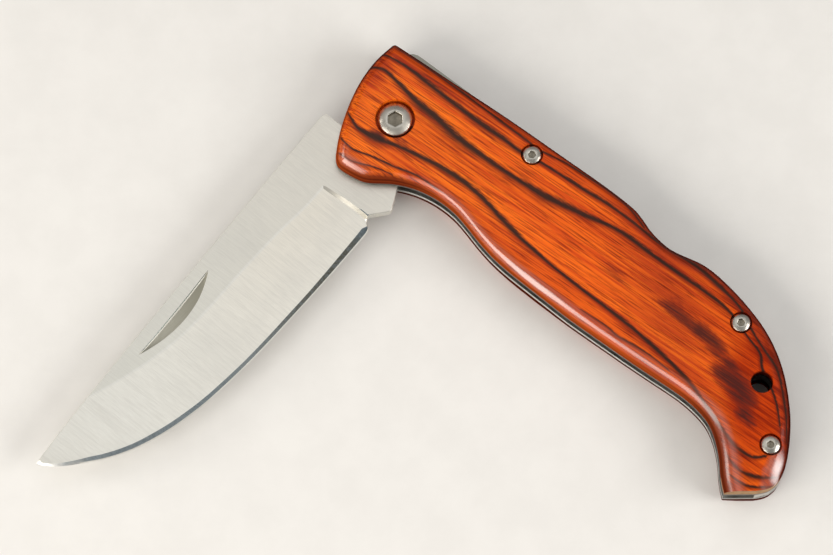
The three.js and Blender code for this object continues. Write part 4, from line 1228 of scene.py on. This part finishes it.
# lock bar: drawn dropped into the notch, then lifted about its pin
bar = densify(BAR_OUTLINE + [BAR_OUTLINE[0]], 1.2)[:-1]
bar = handle_xy(bar)
c, s = math.cos(math.radians(-BAR_LIFT)), math.sin(math.radians(-BAR_LIFT))
pin = np.array(LOCK_PIN)
bar = (bar - pin) @ np.array([[c, s], [-s, c]]) + pin
piece(plate_mesh("lock_bar_plate", bar, [(LOCK_PIN, 1.56, 40)], Z_MID - 1.55, Z_MID + 1.55, [BAR_STEEL], 0.16), "lock_bar", "lock_bar")

piece(blade_mesh(), "blade", "blade")

for front, side in ((True, "front"), (False, "back")):
    piece(screw_mesh(side + "_pivot_button", PIVOT, 3.68, 1.5, Z_TOP - 2.2, 1.75, 4.0, 3.0, 1.3, front, 0.0), "handle", side + "_pivot_screw")
    for where, c, spin in (("lock_bar", LOCK_PIN, 18.0), ("upper_rear", UPPER_REAR, 41.0), ("lower_rear", LOWER_REAR, 7.0)):
        piece(screw_mesh(side + "_" + where + "_button", c, 2.05, 0.88, Z_TOP - 1.6, 1.2, 3.5, 1.5, 0.8, front, spin),
              "handle", side + "_" + where + "_screw")

# lock spring: a flat leaf along its curve, in place of the hidden spring part; it is not attached to a body, and its
# root and end points are worked out but not used
leaf = catmull([(86, 2.25), (82, 2.4), (78, 2.65), (74, 3.08), (70, 4.15), (67, 5.0), (65, 5.14), (63, 4.97)], 40)
slope = np.gradient(leaf, axis=0)
across = unit(np.stack([-slope[:, 1], slope[:, 0]], -1)) * 0.35
spring = plate_mesh("lock_spring_leaf", handle_xy(np.vstack([leaf + across, (leaf - across)[::-1]])), [], Z_MID - 1.3, Z_MID + 1.3, [SPRING_STEEL], 0.08)
root, end = ((handle_xy(np.array(p)) - CENTRE) * 0.001 for p in ((83.0, 2.4), (67.0, 5.0)))
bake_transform(spring)
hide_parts("lock_spring")

for node, mat in (("back_spacer", SPACER_STEEL), ("back_washer", BRONZE), ("front_washer", BRONZE),
                  ("pivot_barrel", BARREL_STEEL), ("lock_bar_barrel", BARREL_STEEL), ("upper_rear_barrel", BARREL_STEEL),
                  ("lower_rear_barrel", BARREL_STEEL)):
    mesh = NODES[node].data
    mesh.materials.clear()
    mesh.materials.append(mat)

# ------------------------------------------------------------------ floor
floor_mat = Nodes("pale_floor")
fl = floor_mat.noise(floor_mat.coords(0, (90, 90, 90)), 1.0, 4.0, 0.6)
floor_mat.link(floor_mat.mix(floor_mat.ramp(fl, 0.3, 0.7), (0.73, 0.715, 0.69), (0.76, 0.745, 0.72)), floor_mat.bsdf.inputs["Base Color"])
floor_mat.set(Roughness=0.85)
bpy.ops.mesh.primitive_plane_add(size=6.0, location=(0, 0, -0.00002))
floor = bpy.context.active_object
floor.name = "floor"
floor.data.materials.append(floor_mat.mat)

# ------------------------------------------------------------------ light
world = bpy.data.worlds.new("soft_studio")
world.use_nodes = True
bpy.context.scene.world = world
bg = world.node_tree.nodes["Background"]
bg.inputs["Color"].default_value = (1.0, 0.985, 0.96, 1)
bg.inputs["Strength"].default_value = 0.27


def softbox(name, azimuth, elevation, dist, size, power, color=(1, 1, 1)):
    data = bpy.data.lights.new(name, "AREA")
    data.shape = "RECTANGLE"
    data.size, data.size_y = size
    data.energy = power
    data.color = color
    o = bpy.data.objects.new(name, data)
    a, e = math.radians(azimuth), math.radians(elevation)
    # azimuth 0 is from the viewer's side, positive to the viewer's right
    d = Vector((math.sin(a) * math.cos(e), -math.cos(a) * math.cos(e), math.sin(e)))
    o.location = d * dist
    o.rotation_euler = (-d).to_track_quat("-Z", "Y").to_euler()
    bpy.context.scene.collection.objects.link(o)
    return o


softbox("key_left", -46, 34, 0.9, (0.76, 0.62), 6.6, (1.0, 0.955, 0.89))
softbox("key_right", 72, 33, 1.0, (0.60, 0.52), 5.6, (1.0, 0.985, 0.96))
softbox("fill_left", -100, 30, 0.9, (0.36, 0.34), 1.7, (1.0, 0.955, 0.89))
softbox("overhead", 178, 72, 1.3, (1.5, 1.2), 3.5)

# ------------------------------------------------------------------ camera
cam_data = bpy.data.cameras.new("camera")
cam_data.sensor_fit = "HORIZONTAL"
cam_data.sensor_width = 36.0
cam_data.lens = 4500.0 / 833.0 * 36.0
cam_data.clip_start, cam_data.clip_end = 0.05, 20.0
cam = bpy.data.objects.new("camera", cam_data)
tilt = math.radians(13.5)
target = Vector(((4.59 - CENTRE[0]) / 1000, (-33.6 - CENTRE[1]) / 1000, 0.0065))
away = 4.5 / 4.65
cam.location = target + Vector((0, -math.sin(tilt), math.cos(tilt))) * away
cam.rotation_euler = (tilt, 0, 0)
bpy.context.scene.collection.objects.link(cam)
bpy.context.scene.camera = cam
bpy.context.scene.view_settings.view_transform = "Standard"
